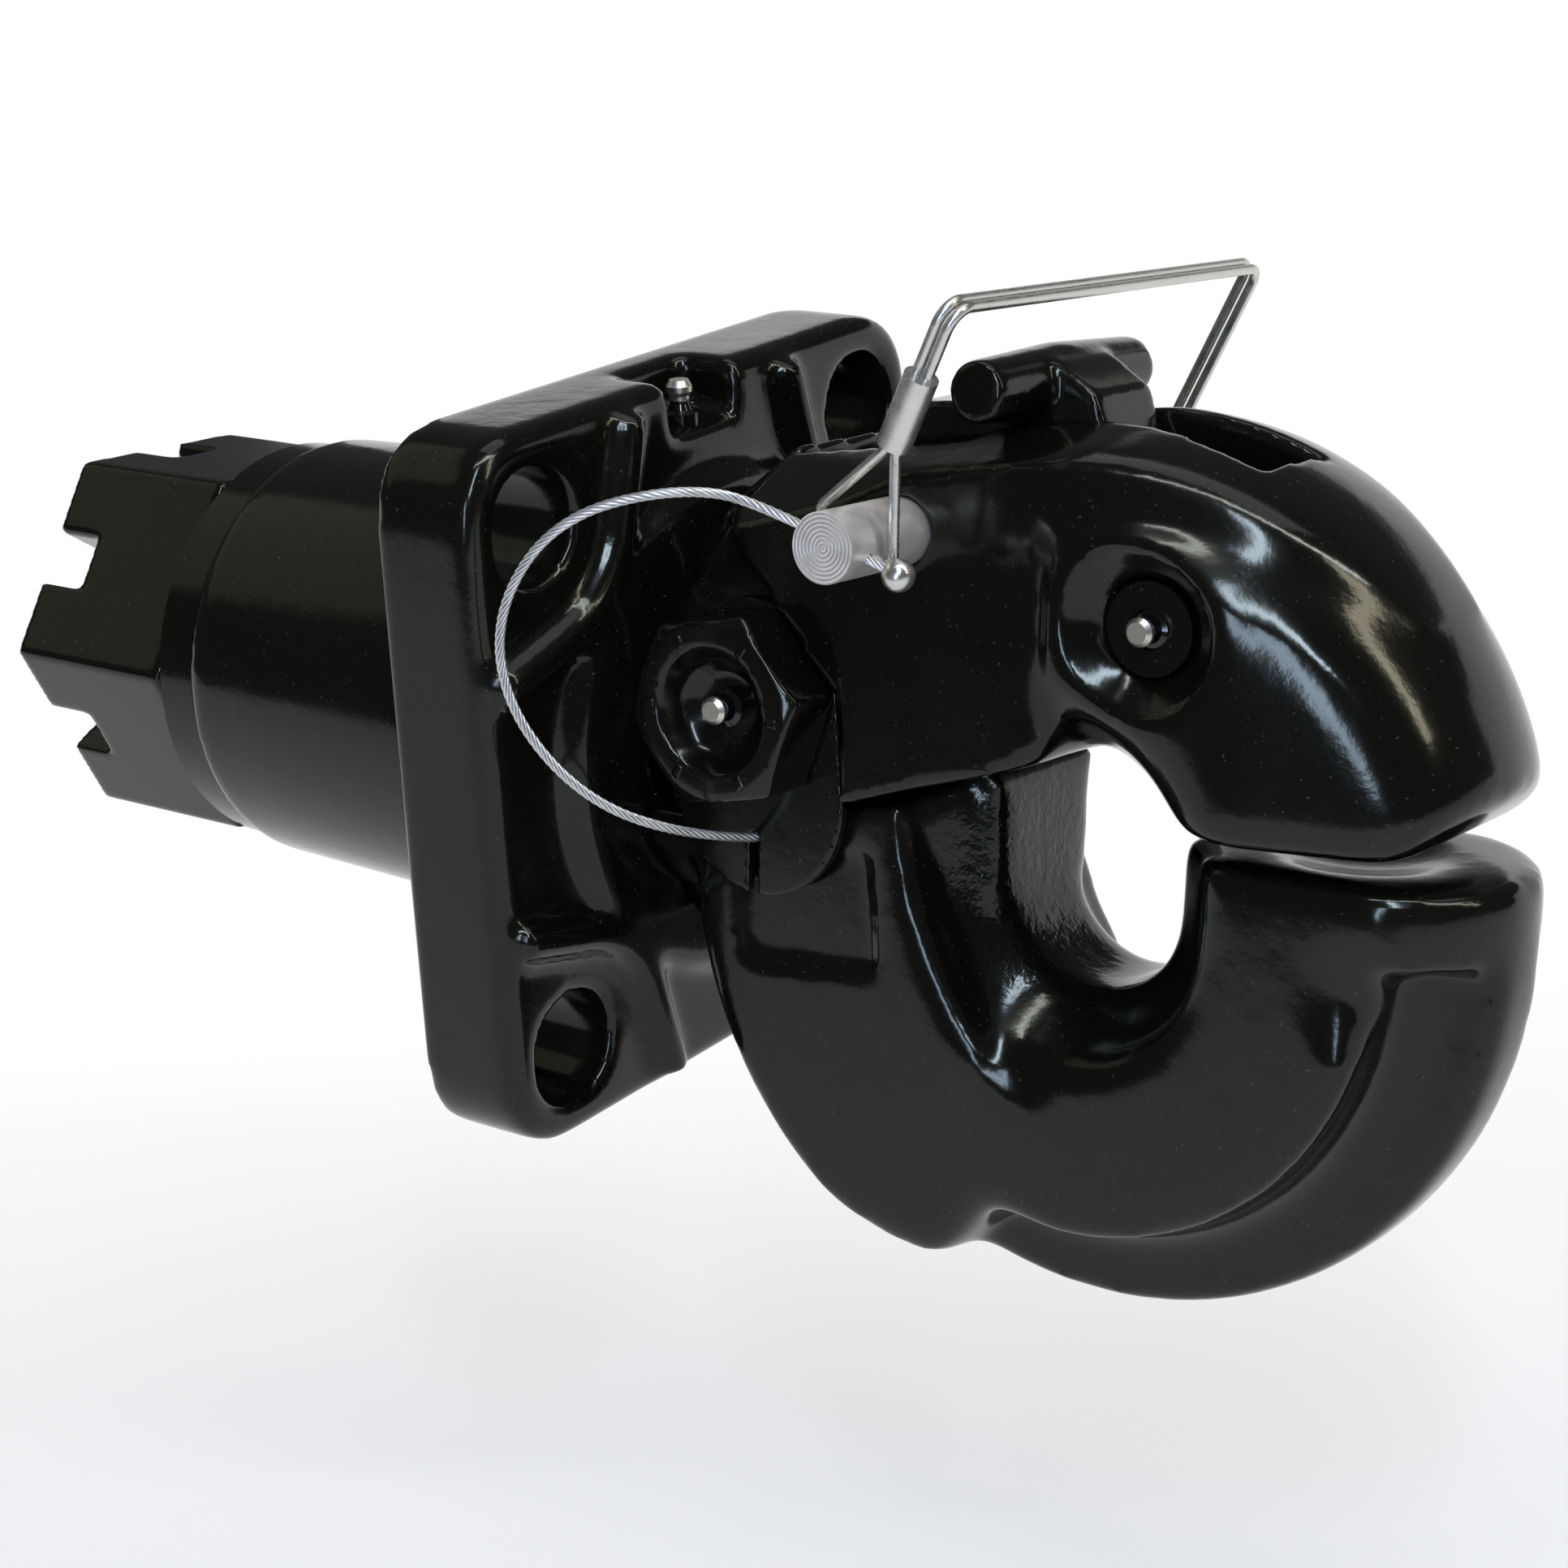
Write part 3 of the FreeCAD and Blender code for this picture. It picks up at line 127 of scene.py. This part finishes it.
def gloss_paint(name, wave_height, grain_height, rough_spot=None, rough_reach=0.0):
    # to the eye: a warm near black that shows the room in soft streaks
    finish, tree, shader, place, mm = start_finish(name)
    wave = node(tree, "TexNoise", "Fac", {"Vector": mm, "Scale": 1 / WAVE_MM, "Detail": 2.0, "Roughness": 0.55})
    grain = node(tree, "TexNoise", "Fac", {"Vector": mm, "Scale": 1 / GRAIN_MM, "Detail": 3.0, "Roughness": 0.55})
    cloud = node(tree, "TexNoise", "Fac", {"Vector": mm, "Scale": 1 / CLOUD_MM, "Detail": 4.0, "Roughness": 0.55})
    dust = node(tree, "TexNoise", "Fac", {"Vector": mm, "Scale": 1 / DUST_MM, "Detail": 1.0, "Roughness": 0.4})
    specks = node(tree, "MapRange", "Result", {"Value": dust, "From Min": 0.735, "From Max": 0.77})
    body = node(tree, "Mix", "Result", {"Factor": cloud, "A": linear("#080805"), "B": linear("#0f0e0a")},
                data_type="RGBA")
    dusty = node(tree, "Mix", "Result", {"Factor": specks, "A": body, "B": linear("#3a3934")}, data_type="RGBA")
    rough = node(tree, "MapRange", "Result", {
        "Value": cloud, "From Min": 0.3, "From Max": 0.7, "To Min": 0.11, "To Max": 0.17})
    waves = node(tree, "Bump", "Normal", {"Height": wave, "Strength": 1.0, "Distance": wave_height / 1000})
    surface = node(tree, "Bump", "Normal", {
        "Height": grain, "Strength": 1.0, "Distance": grain_height / 1000, "Normal": waves})
    if rough_spot:
        pits = node(tree, "TexNoise", "Fac", {"Vector": mm, "Scale": 1 / PIT_MM, "Detail": 3.0, "Roughness": 0.55})
        near = node(tree, "Mapping", "Vector", {"Vector": place, **about(rough_spot, 1 / rough_reach)})
        fade = node(tree, "TexGradient", "Fac", {"Vector": near}, gradient_type="SPHERICAL")
        there = node(tree, "MapRange", "Result", {"Value": fade, "From Max": 0.5})
        share = node(tree, "Math", "Value", {0: pits, 1: there}, operation="MULTIPLY")
        surface = node(tree, "Bump", "Normal", {
            "Height": share, "Strength": 1.0, "Distance": PIT_DEPTH_MM / 1000, "Normal": surface})
    fill(shader, {"Base Color": dusty, "Roughness": rough, "Normal": surface, "IOR": 1.42,
                  "Specular Tint": linear("#f6fdf3")})
    return finish, tree, shader, place, surface


THROAT, THROAT_REACH = on_hook(132, -8, -20), 0.034
cast_paint = gloss_paint("gloss_black_paint_on_cast_steel", 0.13, 0.025)[0]
hook_paint = gloss_paint("gloss_black_paint_on_forged_steel", 0.15, 0.025, THROAT, THROAT_REACH)[0]
smooth_paint = gloss_paint("gloss_black_paint_on_turned_steel", 0.08, 0.01)[0]
print(cast_paint.name, hook_paint.name, smooth_paint.name)

# %% [markdown]
# ## Marks on the bolt head
# Six short raised bars stand round the dish of the bolt's head. They are too low to model, so the finish raises
# them: the angle round the bolt's axis gives six lines, and the distance from it keeps them short.

# %% Bolt head finish
SIDEWAYS = math.radians(-90) - SWIVEL
BARS, BAR_INNER, BAR_OUTER, BAR_END, BAR_HEIGHT = 6, 16.2, 19.6, 0.6, 0.5


def marked_head(name, spot):
    # to the eye: the same paint with six small glints round the dish
    finish, tree, shader, place, surface = gloss_paint(name, 0.08, 0.01)
    local = node(tree, "Mapping", "Vector", {"Vector": place, **about(spot, 1000, SIDEWAYS)})
    axes = node(tree, "SeparateXYZ", "X", {"Vector": local}).node.outputs
    angle = node(tree, "Math", "Value", {0: axes["Y"], 1: axes["X"]}, operation="ARCTAN2")
    turns = node(tree, "Math", "Value", {0: angle, 1: BARS / 2}, operation="MULTIPLY")
    lobes = node(tree, "Math", "Value", {0: turns}, operation="SINE")
    bar = node(tree, "Math", "Value", {0: lobes}, operation="ABSOLUTE")
    x_square = node(tree, "Math", "Value", {0: axes["X"], 1: 2}, operation="POWER")
    y_square = node(tree, "Math", "Value", {0: axes["Y"], 1: 2}, operation="POWER")
    squares = node(tree, "Math", "Value", {0: x_square, 1: y_square}, operation="ADD")
    out = node(tree, "Math", "Value", {0: squares}, operation="SQRT")
    on_bar = node(tree, "MapRange", "Result", {
        "Value": bar, "From Min": 0.10, "From Max": 0.18, "To Min": 1.0, "To Max": 0.0})
    past = node(tree, "MapRange", "Result", {
        "Value": out, "From Min": BAR_INNER, "From Max": BAR_INNER + BAR_END})
    short_of = node(tree, "MapRange", "Result", {
        "Value": out, "From Min": BAR_OUTER - BAR_END, "From Max": BAR_OUTER, "To Min": 1.0, "To Max": 0.0})
    started = node(tree, "Math", "Value", {0: on_bar, 1: past}, operation="MULTIPLY")
    raised = node(tree, "Math", "Value", {0: started, 1: short_of}, operation="MULTIPLY")
    fill(shader, {"Normal": node(tree, "Bump", "Normal", {
        "Height": raised, "Strength": 1.0, "Distance": BAR_HEIGHT / 1000, "Normal": surface})})
    return finish


head_paint = marked_head("gloss_black_paint_on_marked_bolt", on_hook(71, -60, 18))
print(head_paint.name)

# %% [markdown]
# ## Zinc plated steel
# The lock pin and its bail are zinc plated: a pale cool grey that is dull rather than bright, with a cloudy
# sheen and fine scratches. The pin's end keeps the rings that the lathe tool left, so its finish gets rings
# about the pin's own axis.

# %% Zinc plating
ZINC_CLOUD_MM, SCRATCH_MM = 5, 1 / 3
SCRATCH_DEPTH_MM, RING_DEPTH_MM = 0.03, 0.12
# the Wave node draws a ring every 0.314 units, so this scale puts the rings about a millimetre apart;
# the lathe's own rings are finer, and are drawn this coarse so that they show
RING_SCALE = 0.32


def zinc_plating(name, light, dark, roughness, metallic, ring_spot=None):
    # to the eye: pale grey metal with a broken, cloudy shine
    finish, tree, shader, place, mm = start_finish(name)
    cloud = node(tree, "TexNoise", "Fac", {
        "Vector": mm, "Scale": 1 / ZINC_CLOUD_MM, "Detail": 4.0, "Roughness": 0.55})
    scratch = node(tree, "TexNoise", "Fac", {
        "Vector": mm, "Scale": 1 / SCRATCH_MM, "Detail": 3.0, "Roughness": 0.55})
    colour = node(tree, "Mix", "Result", {"Factor": cloud, "A": linear(dark), "B": linear(light)}, data_type="RGBA")
    rough = node(tree, "MapRange", "Result", {
        "Value": cloud, "From Min": 0.3, "From Max": 0.7, "To Min": roughness - 0.08, "To Max": roughness + 0.1})
    surface = node(tree, "Bump", "Normal", {
        "Height": scratch, "Strength": 1.0, "Distance": SCRATCH_DEPTH_MM / 1000})
    if ring_spot:
        local = node(tree, "Mapping", "Vector", {"Vector": place, **about(ring_spot, 1000, SIDEWAYS)})
        rings = node(tree, "TexWave", "Fac", {"Vector": local, "Scale": RING_SCALE, "Distortion": 1.5},
                     wave_type="RINGS", rings_direction="Z")
        surface = node(tree, "Bump", "Normal", {
            "Height": rings, "Strength": 1.0, "Distance": RING_DEPTH_MM / 1000, "Normal": surface})
    fill(shader, {"Base Color": colour, "Roughness": rough, "Metallic": metallic, "Normal": surface})
    return finish


PIN_END = on_hook(109.5, -70, 62.7)
zinc = zinc_plating("zinc_plated_steel", "#e6e4dd", "#b9b8b3", 0.27, 0.92)
pin_zinc = zinc_plating("zinc_plated_turned_steel", "#f3ece4", "#cfc8c0", 0.36, 0.6, PIN_END)
galvanised = zinc_plating("galvanised_rope_wire", "#f0efec", "#b0b0ae", 0.34, 0.75)
print(zinc.name, pin_zinc.name, galvanised.name)

# %% [markdown]
# ## Grease fittings
# The fittings were painted over with the castings, and the grease gun has since rubbed their tips bare. The
# height over each fitting's seat tells the shader where the paint stops.

# %% Painted foot, bare tip
CHIP_MM, CHIP_REACH_MM = 5 / 6, 1.2


def fitting_finish(name, seat, turn, paint_top):
    # to the eye: a black foot with a bright rubbed tip and a chipped line between them
    finish, tree, shader, place, mm = start_finish(name)
    local = node(tree, "Mapping", "Vector", {"Vector": place, **about(seat, 1000, turn)})
    height = node(tree, "SeparateXYZ", "Z", {"Vector": local})
    chips = node(tree, "TexNoise", "Fac", {"Vector": mm, "Scale": 1 / CHIP_MM, "Detail": 2.0, "Roughness": 0.55})
    edge = node(tree, "Math", "Value", {0: chips, 1: CHIP_REACH_MM, 2: height}, operation="MULTIPLY_ADD")
    bare = node(tree, "MapRange", "Result", {
        "Value": edge, "From Min": paint_top + 0.4, "From Max": paint_top + 0.8})
    colour = node(tree, "Mix", "Result", {"Factor": bare, "A": linear("#0a0a0a"), "B": linear("#d8d3c8")},
                  data_type="RGBA")
    gloss = node(tree, "MapRange", "Result", {"Value": bare, "To Min": 0.12, "To Max": 0.36})
    fill(shader, {"Base Color": colour, "Metallic": bare, "Roughness": gloss})
    return finish


# seat, turn from upright, and the paint's height over the seat in millimetres
FITTINGS = {
    "plate_grease_fitting": (Vector((22, 0, 75.8)) / 1000, 0.0, 6.6),
    "pivot_grease_fitting": (on_hook(71, -51, 18), SIDEWAYS, 5.0),
    "lever_grease_fitting": (on_hook(174, -34, 48), SIDEWAYS, 5.0),
}
for name, (seat, turn, paint_top) in FITTINGS.items():
    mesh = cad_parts[name].data
    mesh.materials.clear()
    mesh.materials.append(fitting_finish("bare_steel_tip_of_" + name, seat, turn, paint_top))
print("fittings", len(FITTINGS))

# %% [markdown]
# ## Where the castings are softest
# A casting has no sharp edge, and on this hitch the hook's jaw and the latch's claw are rounder than the rest.
# Each function below gives a point's share of a second, longer softening, from 0 to 1, by the point's place on
# the hook in millimetres. A vertex group painted by hand would do the same, but would not follow a new mesh.

# %% Where the softening acts
JAW_LIP, LIP_END, HOLLOW_END = (228, 33, -16), (224, 34, -28), (122, 36, -104)
LEVER_RECESS, SLOT_FLOOR = (174, 48), 52


def ramp(value, low, high):
    part = min(max((value - low) / (high - low), 0.0), 1.0)
    return part * part * (3 - 2 * part)


def jaw_share(x, y, z):
    lip = math.dist((x, abs(y), z), JAW_LIP)
    below_lug = 1.0 if x > 150 else ramp(-z, -4, 4)
    return ramp(x, 106, 116) * below_lug * (0.7 + 0.3 * ramp(lip, 10, 24))


def lip_end_share(x, y, z):
    return 1 - ramp(math.dist((x, abs(y), z), LIP_END), 6, 17)


def hollow_end_share(x, y, z):
    return 1 - ramp(math.dist((x, abs(y), z), HOLLOW_END), 8, 34)


def claw_share(x, y, z):
    recess = math.dist((x, z), LEVER_RECESS) if y < 0 else 60
    slot = ramp(abs(y), 14, 26) if z > SLOT_FLOOR else 1.0
    return ramp(x, 140, 158) * ramp(recess, 21, 30) * slot


def slot_share(x, y, z):
    return ramp(z, 50, 58) * (1 - ramp(abs(y), 18, 28))


print("jaw", round(jaw_share(200, -30, -60), 2), "claw", round(claw_share(210, -30, 40), 2))

# %% [markdown]
# ## Rounding the castings
# The mould rounds a casting's edges and the paint fills its corners. A copy of the solid's mesh is merged,
# rebuilt as even small faces with the Remesh modifier, and relaxed with the Smooth modifier, which rounds outer
# edges and fills inner corners at the same time. A bevel would need clean edges, which a solid's triangles
# don't have.

# %% Round a casting
def soften(skin, name, rounds, share=None):
    relax = skin.modifiers.new(name, "SMOOTH")
    relax.factor = 0.5
    relax.iterations = rounds
    if share:
        group = skin.vertex_groups.new(name=name)
        back = Matrix.Rotation(-SWIVEL, 3, "X") * 1000
        for vertex in skin.data.vertices:
            group.add([vertex.index], share(*(back @ vertex.co)), "REPLACE")
        relax.vertex_group = name
    bpy.ops.object.modifier_apply(modifier=name)


def cast_skin(casting, body, voxel_mm, rounds, finish, shares):
    bpy.ops.object.select_all(action="DESELECT")
    skin = bpy.data.objects.new(casting + "_skin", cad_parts[casting].data.copy())
    scene.collection.objects.link(skin)
    skin.select_set(True)
    bpy.context.view_layer.objects.active = skin
    bpy.ops.object.mode_set(mode="EDIT")
    bpy.ops.mesh.select_all(action="SELECT")
    bpy.ops.mesh.customdata_custom_splitnormals_clear()
    bpy.ops.mesh.remove_doubles(threshold=0.00001)
    bpy.ops.object.mode_set(mode="OBJECT")
    remesh = skin.modifiers.new("even_faces", "REMESH")
    remesh.mode = "VOXEL"
    remesh.voxel_size = voxel_mm / 1000
    bpy.ops.object.modifier_apply(modifier=remesh.name)
    soften(skin, "all_over", rounds)
    for share, share_rounds in shares:
        soften(skin, share.__name__, share_rounds, share)
    bpy.ops.object.shade_smooth()
    skin.data.materials.clear()
    skin.data.materials.append(finish)
    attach(skin, body)
    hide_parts(casting)
    print(skin.name, len(skin.data.polygons), "faces")


SOFT_HOOK = [(jaw_share, 60), (hollow_end_share, 160), (lip_end_share, 140)]
SOFT_LATCH = [(claw_share, 190), (slot_share, 22)]
# casting, body, face size in millimetres, rounds of smoothing all over, finish, extra softening
cast_skin("mounting_plate", "plate", 1.5, 26, cast_paint, [])
cast_skin("hook_body", "hook", 1.5, 6, hook_paint, SOFT_HOOK)
cast_skin("latch", "latch", 1.2, 8, cast_paint, SOFT_LATCH)
cast_skin("lock_lever", "lever", 0.8, 36, cast_paint, [])
cast_skin("castle_nut", "hook", 1.1, 12, smooth_paint, [])
cast_skin("pivot_bolt", "latch", 0.8, 4, head_paint, [])
cast_skin("cable_tab", "latch", 0.5, 4, smooth_paint, [])

# %% [markdown]
# ## Finishes on the pieces that keep their solids
# Turned pieces and bent wire have the right shape already, so they only get their finish.

# %% Give finishes
PLATED = ["wire_bail", "bail_ferrule", "cotter_pin", "lever_pin_clip", "lock_spring", "cable_stop"]


def wear(names, finish):
    for name in names:
        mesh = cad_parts[name].data
        mesh.materials.clear()
        mesh.materials.append(finish)


wear(["thrust_washer", "pivot_nut", "lever_pin"], smooth_paint)
wear(PLATED, zinc)
wear(["lock_pin"], pin_zinc)
print("plated", PLATED)

# %% [markdown]
# ## The tether's route
# The rope is one smooth line: a NURBS spline on the route's points. It leaves the pin's cross hole, loops out
# past the bolt head and ends pinched in the tab.

# %% Lay the route
ROUTE = [
    (125.19, -63.0, 57.58), (91.91, -63.0, 68.44), (79.0, -79.0, 74.5), (55.0, -96.0, 67.0), (39.5, -99.5, 44.0),
    (40.5, -96.5, 20.0), (54.0, -84.0, -2.0), (68.5, -61.5, -12.5), (72.5, -42.3, -15.7),
]
route = bpy.data.curves.new("tether_route", "CURVE")
route.dimensions = "3D"
route.resolution_u = 48
spline = route.splines.new("NURBS")
spline.points.add(len(ROUTE) - 1)
for point, spot in zip(spline.points, ROUTE):
    point.co = (*on_hook(*spot), 1.0)
spline.order_u = 3
spline.use_endpoint_u = True
route_piece = bpy.data.objects.new("tether_route", route)
scene.collection.objects.link(route_piece)
route_mesh = bpy.data.meshes.new_from_object(route_piece)
line = [vertex.co.copy() for vertex in route_mesh.vertices]
bpy.data.objects.remove(route_piece)

# %% [markdown]
# ## The rope's strands
# Seven strands make the rope: one straight in the middle and six laid round it. Each strand is a thin tube whose
# middle line winds round the route, so the light breaks on it as on a real rope. A bump on one plain tube would
# be lighter, but its outline would stay smooth.

# %% Twist the strands
ROPE_R = 0.0012
STRAND_R = ROPE_R / 3
STRAND_NEST = 0.98
LAY = 0.0125
SIDES = 7


def along(points):
    """Points, tangents, normals and distances along the route, with the normals carried on without twist."""
    last = len(points) - 1
    tangents = [(points[min(k + 1, last)] - points[max(k - 1, 0)]).normalized() for k in range(len(points))]
    normal = tangents[0].orthogonal().normalized()
    rows = []
    walked = 0.0
    for k, (point, tangent) in enumerate(zip(points, tangents)):
        if k:
            walked += (point - points[k - 1]).length
        normal = (normal - tangent * normal.dot(tangent)).normalized()
        rows.append((point, tangent, normal.copy(), walked))
    return rows


def strand(rows, offset, phase, verts, faces):
    first = len(verts)
    for point, tangent, normal, walked in rows:
        side = tangent.cross(normal)
        turn = phase + 2 * math.pi * walked / LAY
        out = normal * math.cos(turn) + side * math.sin(turn)
        round_way = tangent.cross(out)
        centre = point + out * offset
        for k in range(SIDES):
            a = 2 * math.pi * k / SIDES
            verts.append(centre + (out * math.cos(a) + round_way * math.sin(a)) * STRAND_R)
    rings = len(rows)
    for r in range(rings - 1):
        for k in range(SIDES):
            a = first + r * SIDES + k
            b = first + r * SIDES + (k + 1) % SIDES
            faces.append((a, b, b + SIDES, a + SIDES))
    faces.append(tuple(first + k for k in reversed(range(SIDES))))
    faces.append(tuple(first + (rings - 1) * SIDES + k for k in range(SIDES)))


rows = along(line)
verts = []
faces = []
strand(rows, 0.0, 0.0, verts, faces)
for k in range(6):
    strand(rows, 2 * STRAND_R * STRAND_NEST, math.pi * k / 3, verts, faces)
print("strands", 7, "points", len(verts))

# %% [markdown]
# ## The rope as a piece
# The strands become one mesh that rides on the latch and stands for the solid cable.

# %% Make the rope
rope_mesh = bpy.data.meshes.new("tether_rope")
rope_mesh.from_pydata(verts, [], faces)
rope_mesh.update()
rope = bpy.data.objects.new("tether_rope", rope_mesh)
scene.collection.objects.link(rope)
bpy.ops.object.select_all(action="DESELECT")
rope.select_set(True)
bpy.context.view_layer.objects.active = rope
bpy.ops.object.shade_smooth()
rope_mesh.materials.append(galvanised)
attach(rope, "latch")
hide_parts("tether_cable")
print("rope faces", len(rope_mesh.polygons))

# %% [markdown]
# ## The studio paper
# The paper's finish is plain and matt. Behind the hitch it fades to plain white for the rays that see it, and
# in front it is about half white and half paper that takes the shadow. The fade's direction is fixed on the
# sheet, at an angle to its sides, so a Mapping node turns it.

# %% Paper finish
PAPER_TURN = math.radians(-37)
PAPER_FADE = (-0.12, 0.22)
PAPER_FLECK_MM = 3


def paper_finish():
    # to the eye: an even white sheet with no shine
    finish, tree, shader, place, mm = start_finish("white_studio_paper")
    fleck = node(tree, "TexNoise", "Fac", {
        "Vector": mm, "Scale": 1 / PAPER_FLECK_MM, "Detail": 2.0, "Roughness": 0.55})
    colour = node(tree, "Mix", "Result", {"Factor": fleck, "A": linear("#f6f6f6"), "B": linear("#fcfcfc")},
                  data_type="RGBA")
    fill(shader, {"Base Color": colour, "Roughness": 0.9, "Specular IOR Level": 0.1})
    turned = node(tree, "Mapping", "Vector", {"Vector": place, "Rotation": (0, 0, PAPER_TURN)})
    away = node(tree, "SeparateXYZ", "Y", {"Vector": turned})
    far = node(tree, "MapRange", "Result", {
        "Value": away, "From Min": PAPER_FADE[0], "From Max": PAPER_FADE[1], "To Min": 0.55, "To Max": 1.0})
    rays = node(tree, "LightPath", "Is Camera Ray", {}).node.outputs
    mirrored = node(tree, "Math", "Value", {0: rays["Is Camera Ray"], 1: rays["Is Glossy Ray"]}, operation="MAXIMUM")
    seen = node(tree, "Math", "Value", {0: mirrored, 1: rays["Is Transmission Ray"]}, operation="MAXIMUM")
    share = node(tree, "Math", "Value", {0: far, 1: seen}, operation="MULTIPLY")
    white = node(tree, "Emission", "Emission", {})
    both = node(tree, "MixShader", "Shader", {"Fac": share, 1: shader.outputs["BSDF"], 2: white})
    fill(tree.nodes["Material Output"], {"Surface": both})
    return finish


paper = paper_finish()
print(paper.name)

# %% [markdown]
# ## The paper's shape
# The sheet runs far back, rises there as a backdrop, and stops a little in front of the hitch, so the paint's
# lower faces show pale paper and its front faces the dim room.

# %% Paper floor
PAPER_FRONT, PAPER_BACK, PAPER_SIDE, PAPER_RISE, PAPER_LEVEL = -0.85, 4.0, 4.0, 1.6, -0.19
bpy.ops.object.select_all(action="DESELECT")
bpy.ops.mesh.primitive_plane_add(size=1, location=(0, 0, 0))
floor = bpy.context.active_object
bpy.ops.object.mode_set(mode="EDIT")
bpy.ops.transform.resize(value=(2 * PAPER_SIDE, PAPER_BACK - PAPER_FRONT, 1))
bpy.ops.transform.translate(value=(0, (PAPER_BACK + PAPER_FRONT) / 2, PAPER_LEVEL))
bpy.ops.mesh.select_all(action="DESELECT")
bpy.ops.object.mode_set(mode="OBJECT")
for vertex in floor.data.vertices:
    vertex.select = vertex.co.y > PAPER_BACK - 0.01
bpy.ops.object.mode_set(mode="EDIT")
bpy.ops.mesh.extrude_region_move(TRANSFORM_OT_translate={"value": (0, 0, PAPER_RISE)})
bpy.ops.object.mode_set(mode="OBJECT")
floor.name = "paper_floor"
floor.data.materials.append(paper)
print("paper from y", PAPER_FRONT, "to", PAPER_BACK)

# %% [markdown]
# ## Light
# Gloss black shows little of its own colour: what it shows is the room. A wide panel overhead gives an even
# light. A long thin strip overhead draws the line along the claw's edge, a key above the camera and a low
# panel beside it the cool streaks below that line, and a tall strip on the right the warm one next to them. A
# wide dim panel on the left lifts the sleeve and the nut. The room itself is nearly dark. The strips are
# narrow and bright, because a streak's brightness comes from a lamp's glow, and the light on the hitch from
# its glow times its area.

# %% Panels
def panel(name, spot, aim, along, size, glow, colour="#ffffff"):
    lamp = bpy.data.lights.new(name, "AREA")
    lamp.shape = "RECTANGLE"
    lamp.size = size[0]
    lamp.size_y = size[1]
    lamp.energy = glow * math.pi * size[0] * size[1]
    lamp.color = linear(colour)[:3]
    holder = bpy.data.objects.new(name, lamp)
    scene.collection.objects.link(holder)
    back = (Vector(spot) - Vector(aim)).normalized()
    side = (Vector(along) - back * back.dot(Vector(along))).normalized()
    turned = Matrix((side, back.cross(side), back)).transposed()
    holder.matrix_world = Matrix.Translation(spot) @ turned.to_4x4()


CLAW = (0.21, -0.03, 0.05)
panel("overhead_panel", (0.1, 0.5, 1.6), (0.1, 0, 0), (1, 0, 0), (1.4, 0.8), 1.0)
panel("overhead_strip", (0.62, -0.05, 1.55), CLAW, (0.82, 0.57, 0), (1.7, 0.06), 27.0)
panel("key_panel", (0.73, -0.76, 1.05), CLAW, (0, 0, 1), (1.0, 0.14), 26.0, "#dbe8ff")
panel("low_panel", (0.59, -1.46, 0.31), CLAW, (0.2, 0.3, 1), (0.8, 0.16), 14.0, "#cfe0ff")
panel("right_strip", (1.31, 0.23, 0.89), CLAW, (0, 0, 1), (0.85, 0.1), 10.0, "#fff1dd")
panel("left_panel", (-1.5, -0.4, 1.2), (0, 0, 0), (0, 1, 0), (1.5, 1.0), 0.3, "#f4ffd8")
world = bpy.data.worlds.new("studio_room")
world.use_nodes = True
scene.world = world
fill(world.node_tree.nodes["Background"], {"Color": (0.08, 0.082, 0.085, 1)})

# %% [markdown]
# ## Camera
# The camera stands where the photograph's stood, found from the plate, nut and hook in it. Its axes are given
# square to the hook, then turned with it.

# %% Camera
AZIMUTH, ELEVATION, ROLL = 0.627205, 0.249393, 0.018046
SHIFT_X, SHIFT_Y, DISTANCE, FOCAL_PX = -15.444, 17.193, 832.216, 4001.48
PHOTO_PX, SENSOR_MM = 1932, 36
LOOK_AT = Vector((30, 0, 0))
level = Vector((-math.sin(AZIMUTH), math.cos(AZIMUTH), 0))
right = Vector((math.cos(AZIMUTH), math.sin(AZIMUTH), 0))
ahead = level * math.cos(ELEVATION) - Vector((0, 0, math.sin(ELEVATION)))
up = right.cross(ahead)
right, up = (right * math.cos(ROLL) + up * math.sin(ROLL), up * math.cos(ROLL) - right * math.sin(ROLL))
place_mm = LOOK_AT - right * SHIFT_X - up * SHIFT_Y - ahead * DISTANCE
lens = bpy.data.cameras.new("photo_camera")
lens.sensor_width = SENSOR_MM
lens.sensor_fit = "HORIZONTAL"
lens.lens = FOCAL_PX / PHOTO_PX * SENSOR_MM
lens.clip_start = 0.01
camera = bpy.data.objects.new("photo_camera", lens)
scene.collection.objects.link(camera)
turn = Matrix.Rotation(SWIVEL, 3, "X")
axes = turn @ Matrix((right, up, -ahead)).transposed()
camera.matrix_world = Matrix.Translation(turn @ place_mm / 1000) @ axes.to_4x4()
scene.camera = camera
print("camera at", tuple(round(v, 3) for v in camera.matrix_world.translation), "lens", round(lens.lens, 2))
